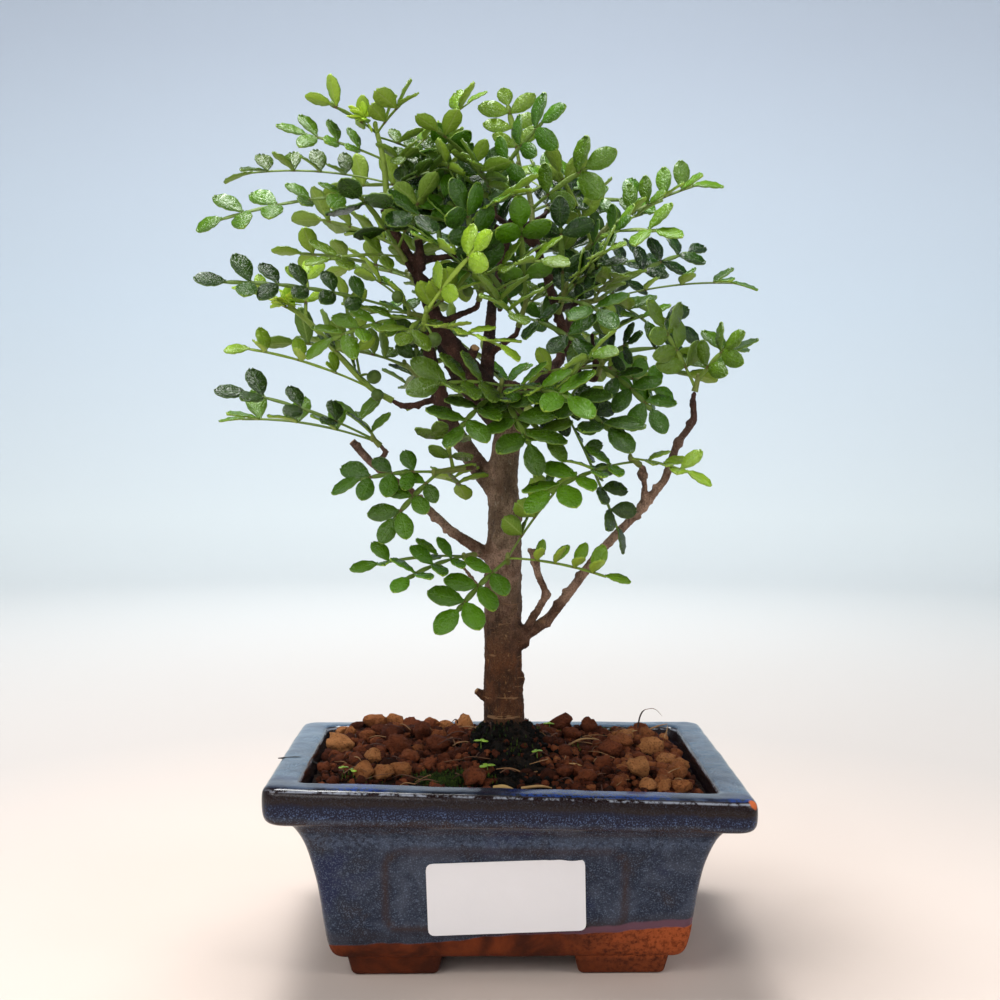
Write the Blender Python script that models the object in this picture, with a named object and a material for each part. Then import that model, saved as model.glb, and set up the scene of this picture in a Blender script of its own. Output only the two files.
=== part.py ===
"""A chinese pepper bonsai in its glazed pot, standing on the pot's four corner feet.

Lengths in this file are millimetres until a mesh is made. X runs to the right, Y to the back and
Z up, counted from the floor under the pot's centre. The last step moves everything sideways, so
that the world origin is the bottom centre of the whole plant's box.
"""
import math
import random

import bmesh
import bpy
from mathutils import Matrix, Vector
from mathutils.bvhtree import BVHTree

MM = 0.001
GAP = 0.3

# Pot
RIM_HALF_X = 62.5
RIM_HALF_Y = 47.8
RIM_LIFT = 2.0
BASE_Z = 5.0
FLOOR_Z = 10.0
LIP_Z = 52.4
INNER_TOP_HALF_X = 53.4
INNER_FLOOR_HALF_X = 41.5
CORNER_RADIUS = 4.5
CORNER_STEPS = 3
# The outer profile at the middle of a long side: half width and height
POT_OUTSIDE = (
    (45.0, BASE_Z), (46.6, 6.6), (47.6, 10.0), (48.3, 15.0), (49.0, 21.0), (50.6, 30.0), (53.0, 37.5),
    (56.0, 42.4), (58.6, 43.4), (61.2, 43.9), (62.3, 45.4), (RIM_HALF_X, 48.0), (62.3, 50.6), (61.2, 51.8),
    (58.0, 52.2), (55.0, LIP_Z), (INNER_TOP_HALF_X, 51.6),
)
FOOT_X = (17.0, 42.6)
FOOT_Y = (12.0, 30.8)
FOOT_TAPER = 1.6
DRAIN_X = 22.0
DRAIN_RADIUS = 5.0
SCREEN_HALF = 9.0
SCREEN_THICK = 0.8
SCREEN_HOLES = 3
SCREEN_PITCH = 4.6

# Label on the front wall
LABEL_CENTRE = (-0.8, 22.6)
LABEL_SIZE = (41.0, 20.0)
LABEL_THICK = 0.5
LABEL_TURN = 1.9
LABEL_CORNER = 1.6

# Soil
SOIL_EDGE_Z = 47.6
SOIL_CROWN = 2.4
SOIL_CELLS = (25, 18)
GRAIN_PITCH = 6.6
GRAIN_HEIGHT = 2.3
MOUND_HEIGHT = 9.5
MOUND_RADIUS = 11.5
HOLE_RADIUS = 7.0
HOLE_Z = 33.0

# Wood: points on each branch's middle line, with its radius there
BRANCHES = {
    "trunk": (
        (0, 0, HOLE_Z + GAP, 5.2), (-0.3, 0, 46, 5.7), (-0.5, 0, 60, 5.8), (-0.9, 0, 80, 5.4),
        (-0.9, 0, 106, 5.2), (-0.6, 0, 118, 4.7), (-1.1, 0.5, 130, 4.2), (0.6, 0, 147, 3.8),
        (0.4, -0.5, 152.5, 4.4), (1, 0, 157, 2.6),
    ),
    "right_lower": (
        (2, 0, 84, 2.4), (11.6, -1, 90.2, 1.8), (18.4, -2, 99.2, 1.6), (25.8, -3, 109.4, 1.5),
        (37.8, -6, 122.5, 1.4), (43.1, -8, 129.6, 1.35), (46.6, -9, 140, 1.25), (50.9, -10, 146, 1.2),
        (50.6, -10, 151.6, 1.05),
    ),
    "right_side_twig": ((37.3, -6, 122, 1.0), (37.8, -8, 128, 1.0), (37, -9, 131.4, 0.9)),
    "front_stub": (
        (4, -1, 85, 1.6), (6.8, -5, 90.5, 1.4), (11, -7, 98, 1.3), (8.3, -8, 104, 1.2),
        (7.4, -8, 109.5, 1.6),
    ),
    "left_lower": (
        (-3, 0, 107, 2.2), (-14.9, -3, 114.8, 1.5), (-26.8, -6, 126, 1.4), (-37.5, -8, 134.4, 1.3),
        (-42.6, -9, 140.2, 1.3),
    ),
    "left_thin_twig": ((-3, -2, 95, 0.8), (-8, -5, 100, 0.7), (-13.2, -7, 107, 0.6)),
    "leader_a": (
        (-3, 0, 127, 3.2), (-9, 1, 134.5, 2.8), (-16.9, 2, 146.4, 2.4), (-20.8, 1, 159.6, 2.1),
        (-22.6, -1, 170, 1.8),
    ),
    "leader_b": (
        (0, 0, 150, 3.4), (-7, -1, 156.5, 3.0), (-18.3, -3, 170.4, 2.4), (-25.9, -5, 188.1, 1.8),
        (-32.4, -8, 199.8, 1.4), (-32.8, -8, 202.6, 1.2),
    ),
    "stub_b": ((-23.6, -4.6, 187, 1.4), (-24.6, -6, 195.5, 1.4)),
    "stub_front": ((-11, -2, 161, 1.6), (-9, -8, 166, 1.5)),
    "knob_twig": ((-20, 1.5, 152, 1.2), (-28.5, 1, 149.6, 0.9)),
    "trunk_stub": ((-3, 0, 66, 1.8), (-8.6, -1.5, 70.5, 1.2)),
    "leader_right": (
        (1, 0, 152, 3.0), (14, 1, 154.5, 2.2), (19.3, 1, 159, 1.9), (16.6, 2, 168.9, 1.7),
        (12.4, 1, 181.6, 1.5), (7.4, 0, 197.6, 1.1),
    ),
    "stem_c": ((19, 1, 158, 1.2), (25, 2, 158, 1.0), (24, 4, 170.9, 0.8)),
    "back_left": ((-2, 1, 144, 2.4), (-14, 18, 158, 1.8), (-24, 33, 178, 1.3)),
    "back_right": ((2, 1, 150, 2.4), (16, 20, 164, 1.8), (22, 36, 186, 1.2)),
    "back_top": ((-6, 0, 156, 2.2), (-4, 16, 180, 1.7), (2, 24, 206, 1.2)),
}
TRUNK_SIDES = 10
BRANCH_SIDES = 5
TWIG_RADII = (1.0, 0.9, 0.75)
TWIG_END = 2.6
TWIG_LAST_ROOT = 0.8
TWIG_SIDES = 4

# Leaf sprays: the points of each green shoot, then its fronds as (place along the shoot from 0 to 1,
# tip, pairs of leaflets, lean of the upper face towards the front in degrees)
SPRAYS = {
    "top_left": (((-33, -8, 205), (-34, -10, 216), (-36, -12, 225)), (
        (0.1, (-83, -24, 195), 3, 40),
        (0.3, (-79, 4, 209), 3, 20),
        (0.62, (-61, -16, 222), 2, 40),
        (1.0, (-53, -8, 233), 2, 25),
        (1.0, (-26, -24, 230), 1, 30),
    )),
    "top_arch": (((-31, 2, 208), (-29, 4, 220)), (
        (1.0, (-5, 10, 240), 4, -40),
        (0.5, (-16, 30, 228), 3, 0),
    )),
    "top_middle": (((7, 0, 200), (6, 3, 210), (3, 4, 218)), (
        (1.0, (-1, 8, 240), 3, 60),
        (0.3, (26, -14, 216), 3, 75),
        (0.6, (25, 32, 219), 3, 20),
    )),
    "right_top": (((20, 8, 192), (29, 10, 202)), (
        (1.0, (61, 14, 216), 4, 30),
        (0.8, (45, -14, 196), 2, 60),
        (0.4, (46, 42, 211), 3, 10),
    )),
    "right_middle": (((21, 12, 180), (31, 14, 182)), (
        (1.0, (72, 6, 185), 4, 15),
        (0.8, (42, -14, 172), 2, 50),
        (0.6, (64, 46, 195), 3, 10),
    )),
    "right_tip": (((51, -10, 154), (52, -10, 158)), (
        (0.3, (38, -18, 175), 3, 50),
        (1.0, (57, -16, 173), 3, 55),
        (0.8, (69, 18, 168), 2, 20),
    )),
    "right_inner": (((25, -4, 159), (26, -8, 162)), (
        (0.8, (42, -24, 143), 3, 30),
        (0.5, (47, 6, 152), 2, 20),
        (1.0, (35, -20, 168), 2, 40),
    )),
    "right_front": (((13, -14, 152), (14, -18, 154)), (
        (0.2, (33, -14, 108), 4, 60),
        (0.9, (29, -40, 138), 3, 45),
        (0.9, (23, -40, 164), 2, 50),
    )),
    "trunk_low": (((0, -8, 107), (0, -11, 109)), (
        (0.8, (34, -18, 101), 4, 70),
        (0.4, (-18, -30, 90), 3, 55),
    )),
    "right_twig": (((36, -10, 134), (33, -14, 136)), (
        (0.5, (-4, -30, 124), 4, 35),
        (1.0, (52, -24, 130), 3, 20),
    )),
    "left_front_low": (((-12, -14, 133), (-20, -20, 132)), (
        (1.0, (-46, -26, 128), 3, 45),
        (0.9, (-35, -34, 119), 2, 50),
        (0.4, (-18, -36, 144), 2, 45),
    )),
    "left_low": (((-9, -8, 109), (-12, -12, 109)), (
        (1.0, (-43, -18, 105), 4, 25),
        (0.5, (-34, -36, 102), 3, 40),
    )),
    "left_tip": (((-35, -8, 139), (-37, -9, 141)), (
        (1.0, (-78, -16, 154), 3, 35),
        (0.7, (-82, 12, 146), 3, 20),
        (0.4, (-45, 24, 151), 2, 10),
    )),
    "left_shoot": (((-32, 1.5, 151.5), (-38, 2, 155), (-47, 4, 164), (-54, 4, 172), (-61, 4, 178)), (
        (0.2, (-80, -4, 162), 3, 30),
        (1.0, (-76, 2, 183), 1, 20),
        (0.95, (-57, 12, 192), 1, 20),
    )),
    "left_middle": (((-22, -6, 174), (-27, -10, 175)), (
        (1.0, (-82, -26, 181), 5, 50),
        (0.6, (-46, -34, 163), 3, 45),
        (0.3, (-45, 18, 176), 3, 10),
    )),
    "left_upper": (((-28, -8, 189), (-31, -9, 194)), (
        (0.3, (-53, -30, 185), 3, 45),
        (1.0, (-59, 6, 203), 3, 25),
        (0.9, (-42, -34, 205), 2, 45),
    )),
    "front_new": (((-23, -16, 170), (-22, -20, 175)), (
        (1.0, (-5, -38, 192), 3, 60),
        (0.3, (3, -40, 161), 3, 30),
    )),
    "front_middle": (((-3, -12, 152), (-2, -20, 156)), (
        (0.9, (-24, -40, 153), 3, 45),
        (0.5, (-16, -42, 139), 3, 50),
        (0.9, (20, -44, 152), 3, 45),
        (0.4, (8, -40, 136), 3, 50),
    )),
    "front_upper": (((-8, -6, 179), (-6, -12, 186)), (
        (0.6, (-22, -40, 185), 3, 45),
        (1.0, (12, -40, 185), 3, 50),
        (0.4, (2, -46, 168), 3, 45),
        (1.0, (-14, -26, 205), 2, 40),
    )),
    "upper_middle": (((-10, 0, 195), (-11, -3, 204)), (
        (1.0, (-19, -18, 218), 3, 40),
        (0.7, (5, -30, 205), 3, 45),
        (0.4, (-30, -34, 197), 2, 45),
    )),
    "middle_right": (((14, -2, 176), (16, -8, 183)), (
        (0.5, (26, -34, 171), 2, 45),
        (1.0, (29, -26, 192), 3, 45),
        (0.7, (14, -20, 200), 2, 40),
    )),
    "centre": (((3, -4, 172), (5, -8, 179)), (
        (1.0, (-6, -18, 202), 3, 40),
        (0.8, (24, 14, 196), 3, 10),
        (0.4, (22, -30, 166), 3, 45),
    )),
    "top_centre": (((-4, 2, 206), (-5, 0, 213)), (
        (1.0, (-24, -20, 225), 3, 45),
        (0.8, (13, -22, 228), 3, 40),
        (0.5, (-4, 34, 216), 3, 0),
    )),
}
# Sprays of the far side, as (angle round the trunk, distance out, height); their fronds follow a rule
BACK_SPRAYS = {
    "back_low_right": (35, 24, 160),
    "back_low_middle": (88, 26, 152),
    "back_low_left": (150, 28, 158),
    "back_right": (50, 36, 186),
    "back_middle": (92, 38, 182),
    "back_left": (132, 38, 186),
    "back_top_right": (62, 26, 208),
    "back_top_left": (118, 26, 210),
}
BACK_FROND_TURNS = (-52, 0, 50)
BACK_FROND_RISE = (-6, 8, 14)
BACK_FROND_LENGTH = 40
BACK_FROND_PAIRS = 2
BERRIES = {
    "left_middle": ((-30, -13, 179, 1.7),),
    "front_new": ((-26, -19, 168, 2.3), (-20, -20, 167, 2.1)),
    "left_shoot": ((-37, -2, 158, 2.1), (-36, -3, 153, 1.8)),
    "right_front": ((16, -19, 159, 1.6),),
    "front_upper": ((-11, -10, 181, 1.6),),
}

# Fronds
BLADE_THICK = 0.7
RACHIS_HALF = 0.55
FIRST_PAIR = 0.24
LAST_PAIR = 0.78
LEAF_JOIN = 1.7
FULL_FROND = 32.0
SMALLEST_SCALE = 0.7
PAIR_PITCH = 6.3
LEAF_LENGTH = 8.6
LEAF_WIDTH = 5.2
LEAF_WIDEST = 0.62
LEAF_FORWARD = 28
LEAF_DROOP = 0.12
ARCH = 0.10
SHOOT_RADIUS = 0.8
SHOOT_SIDES = 5
LAST_FROND = 0.9
CLEARANCE = 0.4
STALK_SHARE = 0.12
TURN_STEPS = (0, 6, -6, 12, -12, 19, -19, 27, -27, 36, -36)
LEAN_STEPS = (0, 25, -25)
SHRINK_STEPS = (1.0, 0.88, 0.76, 0.64)

UP = Vector((0, 0, 1))


def clear_scene():
    for obj in list(bpy.data.objects):
        bpy.data.objects.remove(obj)


def make_material(name, colour, roughness):
    material = bpy.data.materials.new(name)
    material.use_nodes = True
    surface = material.node_tree.nodes["Principled BSDF"]
    surface.inputs["Base Color"].default_value = (*colour, 1.0)
    surface.inputs["Roughness"].default_value = roughness
    return material


def add_object(name, points, faces, material=None):
    mesh = bpy.data.meshes.new(name)
    mesh.from_pydata([Vector(p) * MM for p in points], [], faces)
    mesh.update()
    obj = bpy.data.objects.new(name, mesh)
    bpy.context.scene.collection.objects.link(obj)
    if material:
        mesh.materials.append(material)
    return obj


def is_closed(mesh):
    """True where every edge joins exactly two faces."""
    shape = bmesh.new()
    shape.from_mesh(mesh)
    closed = all(len(edge.link_faces) == 2 for edge in shape.edges)
    shape.free()
    return closed


def join_by_boolean(obj, others, operation="UNION"):
    """Apply one Boolean of the other objects to obj, and remove them. The exact solver is tried first."""
    group = bpy.data.collections.new(obj.name + "_group")
    bpy.context.scene.collection.children.link(group)
    for other in others:
        bpy.context.scene.collection.objects.unlink(other)
        group.objects.link(other)
    boolean = obj.modifiers.new("join", "BOOLEAN")
    boolean.operation = operation
    boolean.operand_type = "COLLECTION"
    boolean.collection = group
    for solver in ("EXACT", "MANIFOLD"):
        boolean.solver = solver
        evaluated = obj.evaluated_get(bpy.context.evaluated_depsgraph_get())
        mesh = bpy.data.meshes.new_from_object(evaluated)
        if is_closed(mesh):
            break
    obj.modifiers.clear()
    obj.data = mesh
    for other in others:
        bpy.data.objects.remove(other)
    bpy.data.collections.remove(group)


def loft(rings):
    """Faces of a closed skin through rings of equal point counts, each ring anticlockwise from above,
    the first ring at the bottom of the outside and the last one at the end of the skin."""
    count = len(rings[0])
    points = [point for ring in rings for point in ring]
    faces = []
    for level in range(len(rings) - 1):
        for i in range(count):
            j = (i + 1) % count
            a, b = level * count, (level + 1) * count
            faces.append((a + i, a + j, b + j, b + i))
    faces.append(tuple(reversed(range(count))))
    faces.append(tuple(range(len(points) - count, len(points))))
    return points, faces


def rectangle(x, y, z):
    return [(x[0], y[0], z), (x[1], y[0], z), (x[1], y[1], z), (x[0], y[1], z)]


def block(x, y, z):
    return loft([rectangle(x, y, height) for height in z])


def cylinder(x, y, radius, low, high, sides=16):
    rings = []
    for z in (low, high):
        turns = [2 * math.pi * i / sides for i in range(sides)]
        rings.append([(x + radius * math.cos(a), y + radius * math.sin(a), z) for a in turns])
    return loft(rings)


def tube(points, radii, sides):
    """A round bar along points, closed by flat ends."""
    points = [Vector(p) for p in points]
    rings = []
    previous = None
    for i, point in enumerate(points):
        along = (points[min(i + 1, len(points) - 1)] - points[max(i - 1, 0)]).normalized()
        if previous is None:
            across = along.orthogonal().normalized()
        else:
            across = (previous - along * previous.dot(along)).normalized()
        previous = across
        other = along.cross(across)
        turns = [2 * math.pi * k / sides for k in range(sides)]
        rings.append([point + (across * math.cos(a) + other * math.sin(a)) * radii[i] for a in turns])
    return loft(rings)


def pot_lift(x, y, z):
    """The rim was fired slightly out of true: its front edge rises to the left."""
    high = min(max((z - 30.0) / 20.0, 0.0), 1.0)
    return -RIM_LIFT * (x / RIM_HALF_X) * (0.5 - y / (2 * RIM_HALF_Y)) * high


def pot_ring(half_x, z, radius=CORNER_RADIUS):
    half_y = half_x - (RIM_HALF_X - RIM_HALF_Y)
    ring = []
    for corner, (sx, sy) in enumerate(((1, -1), (1, 1), (-1, 1), (-1, -1))):
        for step in range(CORNER_STEPS + 1):
            angle = math.radians(-90 + 90 * corner + 90 * step / CORNER_STEPS)
            x = sx * (half_x - radius) + radius * math.cos(angle)
            y = sy * (half_y - radius) + radius * math.sin(angle)
            ring.append((x, y, z + pot_lift(x, y, z)))
    return ring


def inner_half_x(z):
    share = (z - FLOOR_Z) / (51.6 - FLOOR_Z)
    return INNER_FLOOR_HALF_X + (INNER_TOP_HALF_X - INNER_FLOOR_HALF_X) * share


def make_pot():
    rings = [pot_ring(*level) for level in POT_OUTSIDE]
    rings.append(pot_ring(INNER_FLOOR_HALF_X, FLOOR_Z))
    points, faces = loft(rings)
    pot = add_object("pot", points, faces, make_material("glaze", (0.05, 0.09, 0.16), 0.25))
    feet = []
    for sx in (-1, 1):
        for sy in (-1, 1):
            foot_rings = []
            for z, taper in ((0.0, FOOT_TAPER), (BASE_Z + 1.5, 0.0)):
                xs = sorted((sx * (FOOT_X[0] + taper * 0.4), sx * (FOOT_X[1] - taper)))
                ys = sorted((sy * (FOOT_Y[0] + taper * 0.4), sy * (FOOT_Y[1] - taper)))
                foot_rings.append(rectangle(xs, ys, z))
            feet.append(add_object("foot", *loft(foot_rings)))
    join_by_boolean(pot, feet)
    drains = []
    for x in (-DRAIN_X, DRAIN_X):
        drains.append(add_object("drain", *cylinder(x, 0, DRAIN_RADIUS, 0.0, FLOOR_Z + 5)))
    join_by_boolean(pot, drains, "DIFFERENCE")
    return pot


def make_screen(name, x):
    low = FLOOR_Z + GAP
    across = (-SCREEN_HALF, SCREEN_HALF)
    plate = block((x - SCREEN_HALF, x + SCREEN_HALF), across, (low, low + SCREEN_THICK))
    screen = add_object(name, *plate, make_material(name, (0.03, 0.03, 0.03), 0.6))
    holes = []
    half = SCREEN_PITCH * 0.3
    for i in range(SCREEN_HOLES):
        for j in range(SCREEN_HOLES):
            cx = x + (i - (SCREEN_HOLES - 1) / 2) * SCREEN_PITCH
            cy = (j - (SCREEN_HOLES - 1) / 2) * SCREEN_PITCH
            hole = block((cx - half, cx + half), (cy - half, cy + half), (low - 2, low + 4))
            holes.append(add_object("hole", *hole))
    join_by_boolean(screen, holes, "DIFFERENCE")
    return screen


def label_points():
    """The outline of the label: a rectangle with rounded corners."""
    points = []
    for corner, (sx, sz) in enumerate(((1, -1), (1, 1), (-1, 1), (-1, -1))):
        for step in range(3):
            angle = math.radians(-90 + 90 * corner + 45 * step)
            x = sx * (LABEL_SIZE[0] / 2 - LABEL_CORNER) + LABEL_CORNER * math.cos(angle)
            z = sz * (LABEL_SIZE[1] / 2 - LABEL_CORNER) + LABEL_CORNER * math.sin(angle)
            points.append((x, z))
    return points


def make_label():
    """A thin plate on the front wall, parallel to it."""
    low, high = 15.0, 30.0
    wall = {z: half_x - (RIM_HALF_X - RIM_HALF_Y) for half_x, z in POT_OUTSIDE}
    slope = math.atan2(wall[high] - wall[low], high - low)
    turn = Matrix.Rotation(math.radians(-LABEL_TURN), 3, "Y")
    lean = Matrix.Rotation(slope, 3, "X")
    front = wall[low] + (wall[high] - wall[low]) * (LABEL_CENTRE[1] - low) / (high - low)
    centre = Vector((LABEL_CENTRE[0], -front, LABEL_CENTRE[1]))
    rings = []
    for depth in (GAP + 0.25, GAP + 0.25 + LABEL_THICK):
        ring = [turn @ Vector((x, 0, z)) for x, z in label_points()]
        rings.append([centre + lean @ (p + Vector((0, -depth, 0))) for p in ring])
    points, faces = loft(rings)
    return add_object("label", points, faces, make_material("label", (0.85, 0.86, 0.86), 0.4))


def soil_grains():
    """Middle points of the granules: a seeded, shaken grid."""
    draw = random.Random(11)
    grains = []
    rows = int(90 / GRAIN_PITCH)
    columns = int(112 / GRAIN_PITCH)
    for row in range(-rows // 2, rows // 2 + 2):
        for column in range(-columns // 2, columns // 2 + 2):
            x = (column + 0.5 * (row % 2) + draw.uniform(-0.3, 0.3)) * GRAIN_PITCH
            y = (row + draw.uniform(-0.3, 0.3)) * GRAIN_PITCH
            grains.append((x, y, draw.uniform(0.35, 1.0)))
    return grains


def soil_height(x, y, grains):
    reach = 0.62 * GRAIN_PITCH
    dome = 0.0
    for gx, gy, size in grains:
        near = math.hypot(x - gx, y - gy) / reach
        if near < 1.0:
            dome = max(dome, size * math.sqrt(1.0 - near * near))
    bulge = SOIL_CROWN * (1 - (x / 52.0) ** 4) * (1 - (y / 38.0) ** 4)
    mound = MOUND_HEIGHT * math.exp(-(math.hypot(x, y) / MOUND_RADIUS) ** 2)
    return SOIL_EDGE_Z + bulge + mound + GRAIN_HEIGHT * dome * (1.0 - mound / MOUND_HEIGHT * 0.8)


def make_soil():
    """The filling: a block with granules raised on its top and a plain hole for the trunk."""
    grains = soil_grains()
    columns, rows = SOIL_CELLS
    half_x = inner_half_x(SOIL_EDGE_Z) - GAP - 0.2
    half_y = half_x - (RIM_HALF_X - RIM_HALF_Y)
    floor_x = INNER_FLOOR_HALF_X - GAP - 0.2
    floor_y = floor_x - (RIM_HALF_X - RIM_HALF_Y)
    points = []
    faces = []
    index = {}
    for row in range(rows + 1):
        for column in range(columns + 1):
            u = 2 * column / columns - 1
            v = 2 * row / rows - 1
            tuck = 2.0 * (abs(u) * abs(v)) ** 14
            x = u * half_x - math.copysign(tuck, u)
            y = v * half_y - math.copysign(tuck, v)
            edge = column in (0, columns) or row in (0, rows)
            z = SOIL_EDGE_Z if edge else soil_height(x, y, grains)
            index[row, column] = len(points)
            points.append((x, y, z))
    for row in range(rows):
        for column in range(columns):
            a, b = index[row, column], index[row, column + 1]
            c, d = index[row + 1, column + 1], index[row + 1, column]
            faces += [(a, b, c), (a, c, d)]
    around = [(0, c) for c in range(columns)] + [(r, columns) for r in range(rows)]
    around += [(rows, c) for c in range(columns, 0, -1)] + [(r, 0) for r in range(rows, 0, -1)]
    top = [index[key] for key in around]
    base = []
    for i in top:
        x, y, _ = points[i]
        base.append(len(points))
        points.append((x * floor_x / half_x, y * floor_y / half_y, FLOOR_Z + GAP))
    for i in range(len(top)):
        j = (i + 1) % len(top)
        faces += [(base[i], base[j], top[j]), (base[i], top[j], top[i])]
    faces.append(tuple(reversed(base)))
    soil = add_object("soil", points, faces, make_material("soil", (0.12, 0.05, 0.025), 0.9))
    room = SCREEN_HALF + GAP
    cuts = [add_object("trunk_hole", *cylinder(0, 0, HOLE_RADIUS, HOLE_Z, 90))]
    for x in (-DRAIN_X, DRAIN_X):
        corners = block((x - room, x + room), (-room, room), (0, FLOOR_Z + 2 * GAP + SCREEN_THICK))
        cuts.append(add_object("screen_room", *corners))
    join_by_boolean(soil, cuts, "DIFFERENCE")
    return soil


def nearest_wood(target):
    """The point on the branches' middle lines that is nearest to target, and the radius there."""
    best = None
    for line in BRANCHES.values():
        for a, b in zip(line, line[1:]):
            start, end = Vector(a[:3]), Vector(b[:3])
            span = end - start
            last = TWIG_LAST_ROOT if b is line[-1] else 1.0
            share = min(max((target - start).dot(span) / span.length_squared, 0.0), last)
            point = start + span * share
            far = (target - point).length
            if best is None or far < best[0]:
                best = (far, point, a[3] + (b[3] - a[3]) * share)
    return best[1], best[2]


def twig_to(shoot):
    """Middle line and radii of the twig that carries a shoot: it ends just short of it, in line."""
    start = Vector(shoot[0])
    ahead = (Vector(shoot[1]) - start).normalized()
    root, _ = nearest_wood(start - ahead * TWIG_END)
    return [root, start - ahead * TWIG_END, start - ahead * GAP], TWIG_RADII


def wood_lines(sprays):
    """Every bar of the wood, as (points, radii, sides)."""
    bars = []
    for name, line in BRANCHES.items():
        sides = TRUNK_SIDES if name == "trunk" else BRANCH_SIDES
        bars.append(([p[:3] for p in line], [p[3] for p in line], sides))
    for shoot, _ in sprays.values():
        bars.append((*twig_to(shoot), TWIG_SIDES))
    return bars


def make_tree(sprays):
    bars = wood_lines(sprays)
    tree = add_object("tree", *tube(*bars[0]), make_material("bark", (0.10, 0.06, 0.04), 0.8))
    join_by_boolean(tree, [add_object("bar", *tube(*bar)) for bar in bars[1:]])
    return tree


def bend(base, tip, share):
    """A point on the frond's middle line, which arches upwards."""
    top = (base + tip) / 2 + UP * ARCH * (tip - base).length
    return base * (1 - share) ** 2 + top * 2 * share * (1 - share) + tip * share ** 2


def frond_mesh(base, tip, pairs, lean, grow=0.0, start=0.0):
    """One arched blade cut to its rib: a rachis strip with pairs of leaflets and one at its end.
    grow widens and thickens it for the clearance test, which leaves out the stalk below start."""
    length = (tip - base).length
    scale = min(max(length / FULL_FROND, SMALLEST_SCALE), 1.0)
    along_all = (tip - base).normalized()
    want = Vector((0, -math.sin(math.radians(lean)), math.cos(math.radians(lean))))
    if abs(want.dot(along_all)) > 0.97:
        want = Vector((0, -1, 0))
    half = RACHIS_HALF + grow
    thick = BLADE_THICK + 2 * grow
    join = LEAF_JOIN * scale / length
    last = 1 - LEAF_LENGTH * scale * 0.95 / length
    room = (LAST_PAIR * last - FIRST_PAIR) * length
    pairs = min(pairs, 1 + int(room / (PAIR_PITCH * scale)))
    # Stations along the rachis: share, and the pair that it opens or closes
    stations = [(start, None)]
    for pair in range(pairs):
        middle = FIRST_PAIR + (LAST_PAIR * last - FIRST_PAIR) * pair / max(pairs - 1, 1) + 0.02
        if pairs == 1:
            middle = 0.5 * last + 0.1
        stations += [(middle - join / 2, pair), (middle + join / 2, pair)]
    stations.append((last, None))
    top = []
    down = []
    frames = []
    for share, _ in stations:
        point = bend(base, tip, share)
        ahead = bend(base, tip, share + 0.02)
        along = (ahead - point).normalized()
        normal = (want - along * want.dot(along)).normalized()
        side = along.cross(normal)
        frames.append((along, normal, side))
        for sign in (1, -1):
            top.append(point + side * half * sign + normal * grow)
            down.append(normal)
    triangles = []
    for k in range(len(stations) - 1):
        right, left = 2 * k, 2 * k + 1
        triangles += [(right, right + 2, left + 2), (right, left + 2, left)]

    def leaflet(near, far, direction, forward, normal, size, sign):
        """Three triangles on the edge from near to far; direction points out of the rib."""
        root = (top[near] + top[far]) / 2
        reach = LEAF_LENGTH * scale * size + grow
        wide = LEAF_WIDTH * scale * size / 2 + grow
        sink = normal * LEAF_DROOP * reach
        first = len(top)
        shape = (
            root + direction * reach * LEAF_WIDEST - forward * wide,
            root + direction * reach - sink,
            root + direction * reach * LEAF_WIDEST + forward * wide,
        )
        for point in shape:
            top.append(point)
            down.append(normal)
        fan = [(near, first, far), (first, first + 2, far), (first, first + 1, first + 2)]
        triangles.extend(fan if sign > 0 else [tuple(reversed(t)) for t in fan])

    slant = math.radians(LEAF_FORWARD)
    for pair in range(pairs):
        opening = 1 + 2 * pair
        along, normal, side = frames[opening]
        size = 0.82 + 0.18 * math.sin(math.pi * (pair + 1) / (pairs + 1))
        for sign in (1, -1):
            out = side * sign
            direction = out * math.cos(slant) + along * math.sin(slant)
            forward = along * math.cos(slant) - out * math.sin(slant)
            near = 2 * opening + (0 if sign > 0 else 1)
            leaflet(near, near + 2, direction, forward, normal, size, sign)
    end = len(stations) - 1
    along, normal, side = frames[end]
    leaflet(2 * end + 1, 2 * end, along, side, normal, 0.95, -1)
    return shell(top, down, triangles, thick)


def shell(top, down, triangles, thick):
    """Close a sheet of triangles with a second face below it and walls round its edge."""
    count = len(top)
    points = top + [p - n * thick for p, n in zip(top, down)]
    edges = {}
    for a, b, c in triangles:
        for edge in ((a, b), (b, c), (c, a)):
            edges[edge] = True
    faces = list(triangles)
    faces += [(c + count, b + count, a + count) for a, b, c in triangles]
    for a, b in edges:
        if (b, a) not in edges:
            faces += [(b, a, a + count), (b, a + count, b + count)]
    return points, faces


def tree_of(points, faces):
    return BVHTree.FromPolygons([tuple(p) for p in points], faces)


def shoot_point(shoot, share):
    points = [Vector(p) for p in shoot]
    spans = [(b - a).length for a, b in zip(points, points[1:])]
    left = share * sum(spans)
    for a, b, span in zip(points, points[1:], spans):
        if left <= span or b is points[-1]:
            return a.lerp(b, min(left / span, 1.0))
        left -= span
    return points[-1]


def back_spray(angle, out, height):
    """A shoot and three fronds of the far side, spread outwards round the shoot."""
    turn = math.radians(angle)
    outward = Vector((math.cos(turn), math.sin(turn), 0))
    start = outward * out + UP * height
    end = start + outward * 6 + UP * 5
    fronds = []
    for k, (swing, rise) in enumerate(zip(BACK_FROND_TURNS, BACK_FROND_RISE)):
        facing = Matrix.Rotation(math.radians(swing), 3, "Z") @ outward
        share = 0.3 + 0.35 * k
        root = start.lerp(end, share)
        tip = root + (facing + UP * math.sin(math.radians(rise))).normalized() * BACK_FROND_LENGTH
        fronds.append((share, tuple(tip), BACK_FROND_PAIRS, -30))
    return (tuple(start), tuple(end)), tuple(fronds)


def all_sprays():
    sprays = dict(SPRAYS)
    for name, place in BACK_SPRAYS.items():
        sprays[name] = back_spray(*place)
    return sprays


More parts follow.
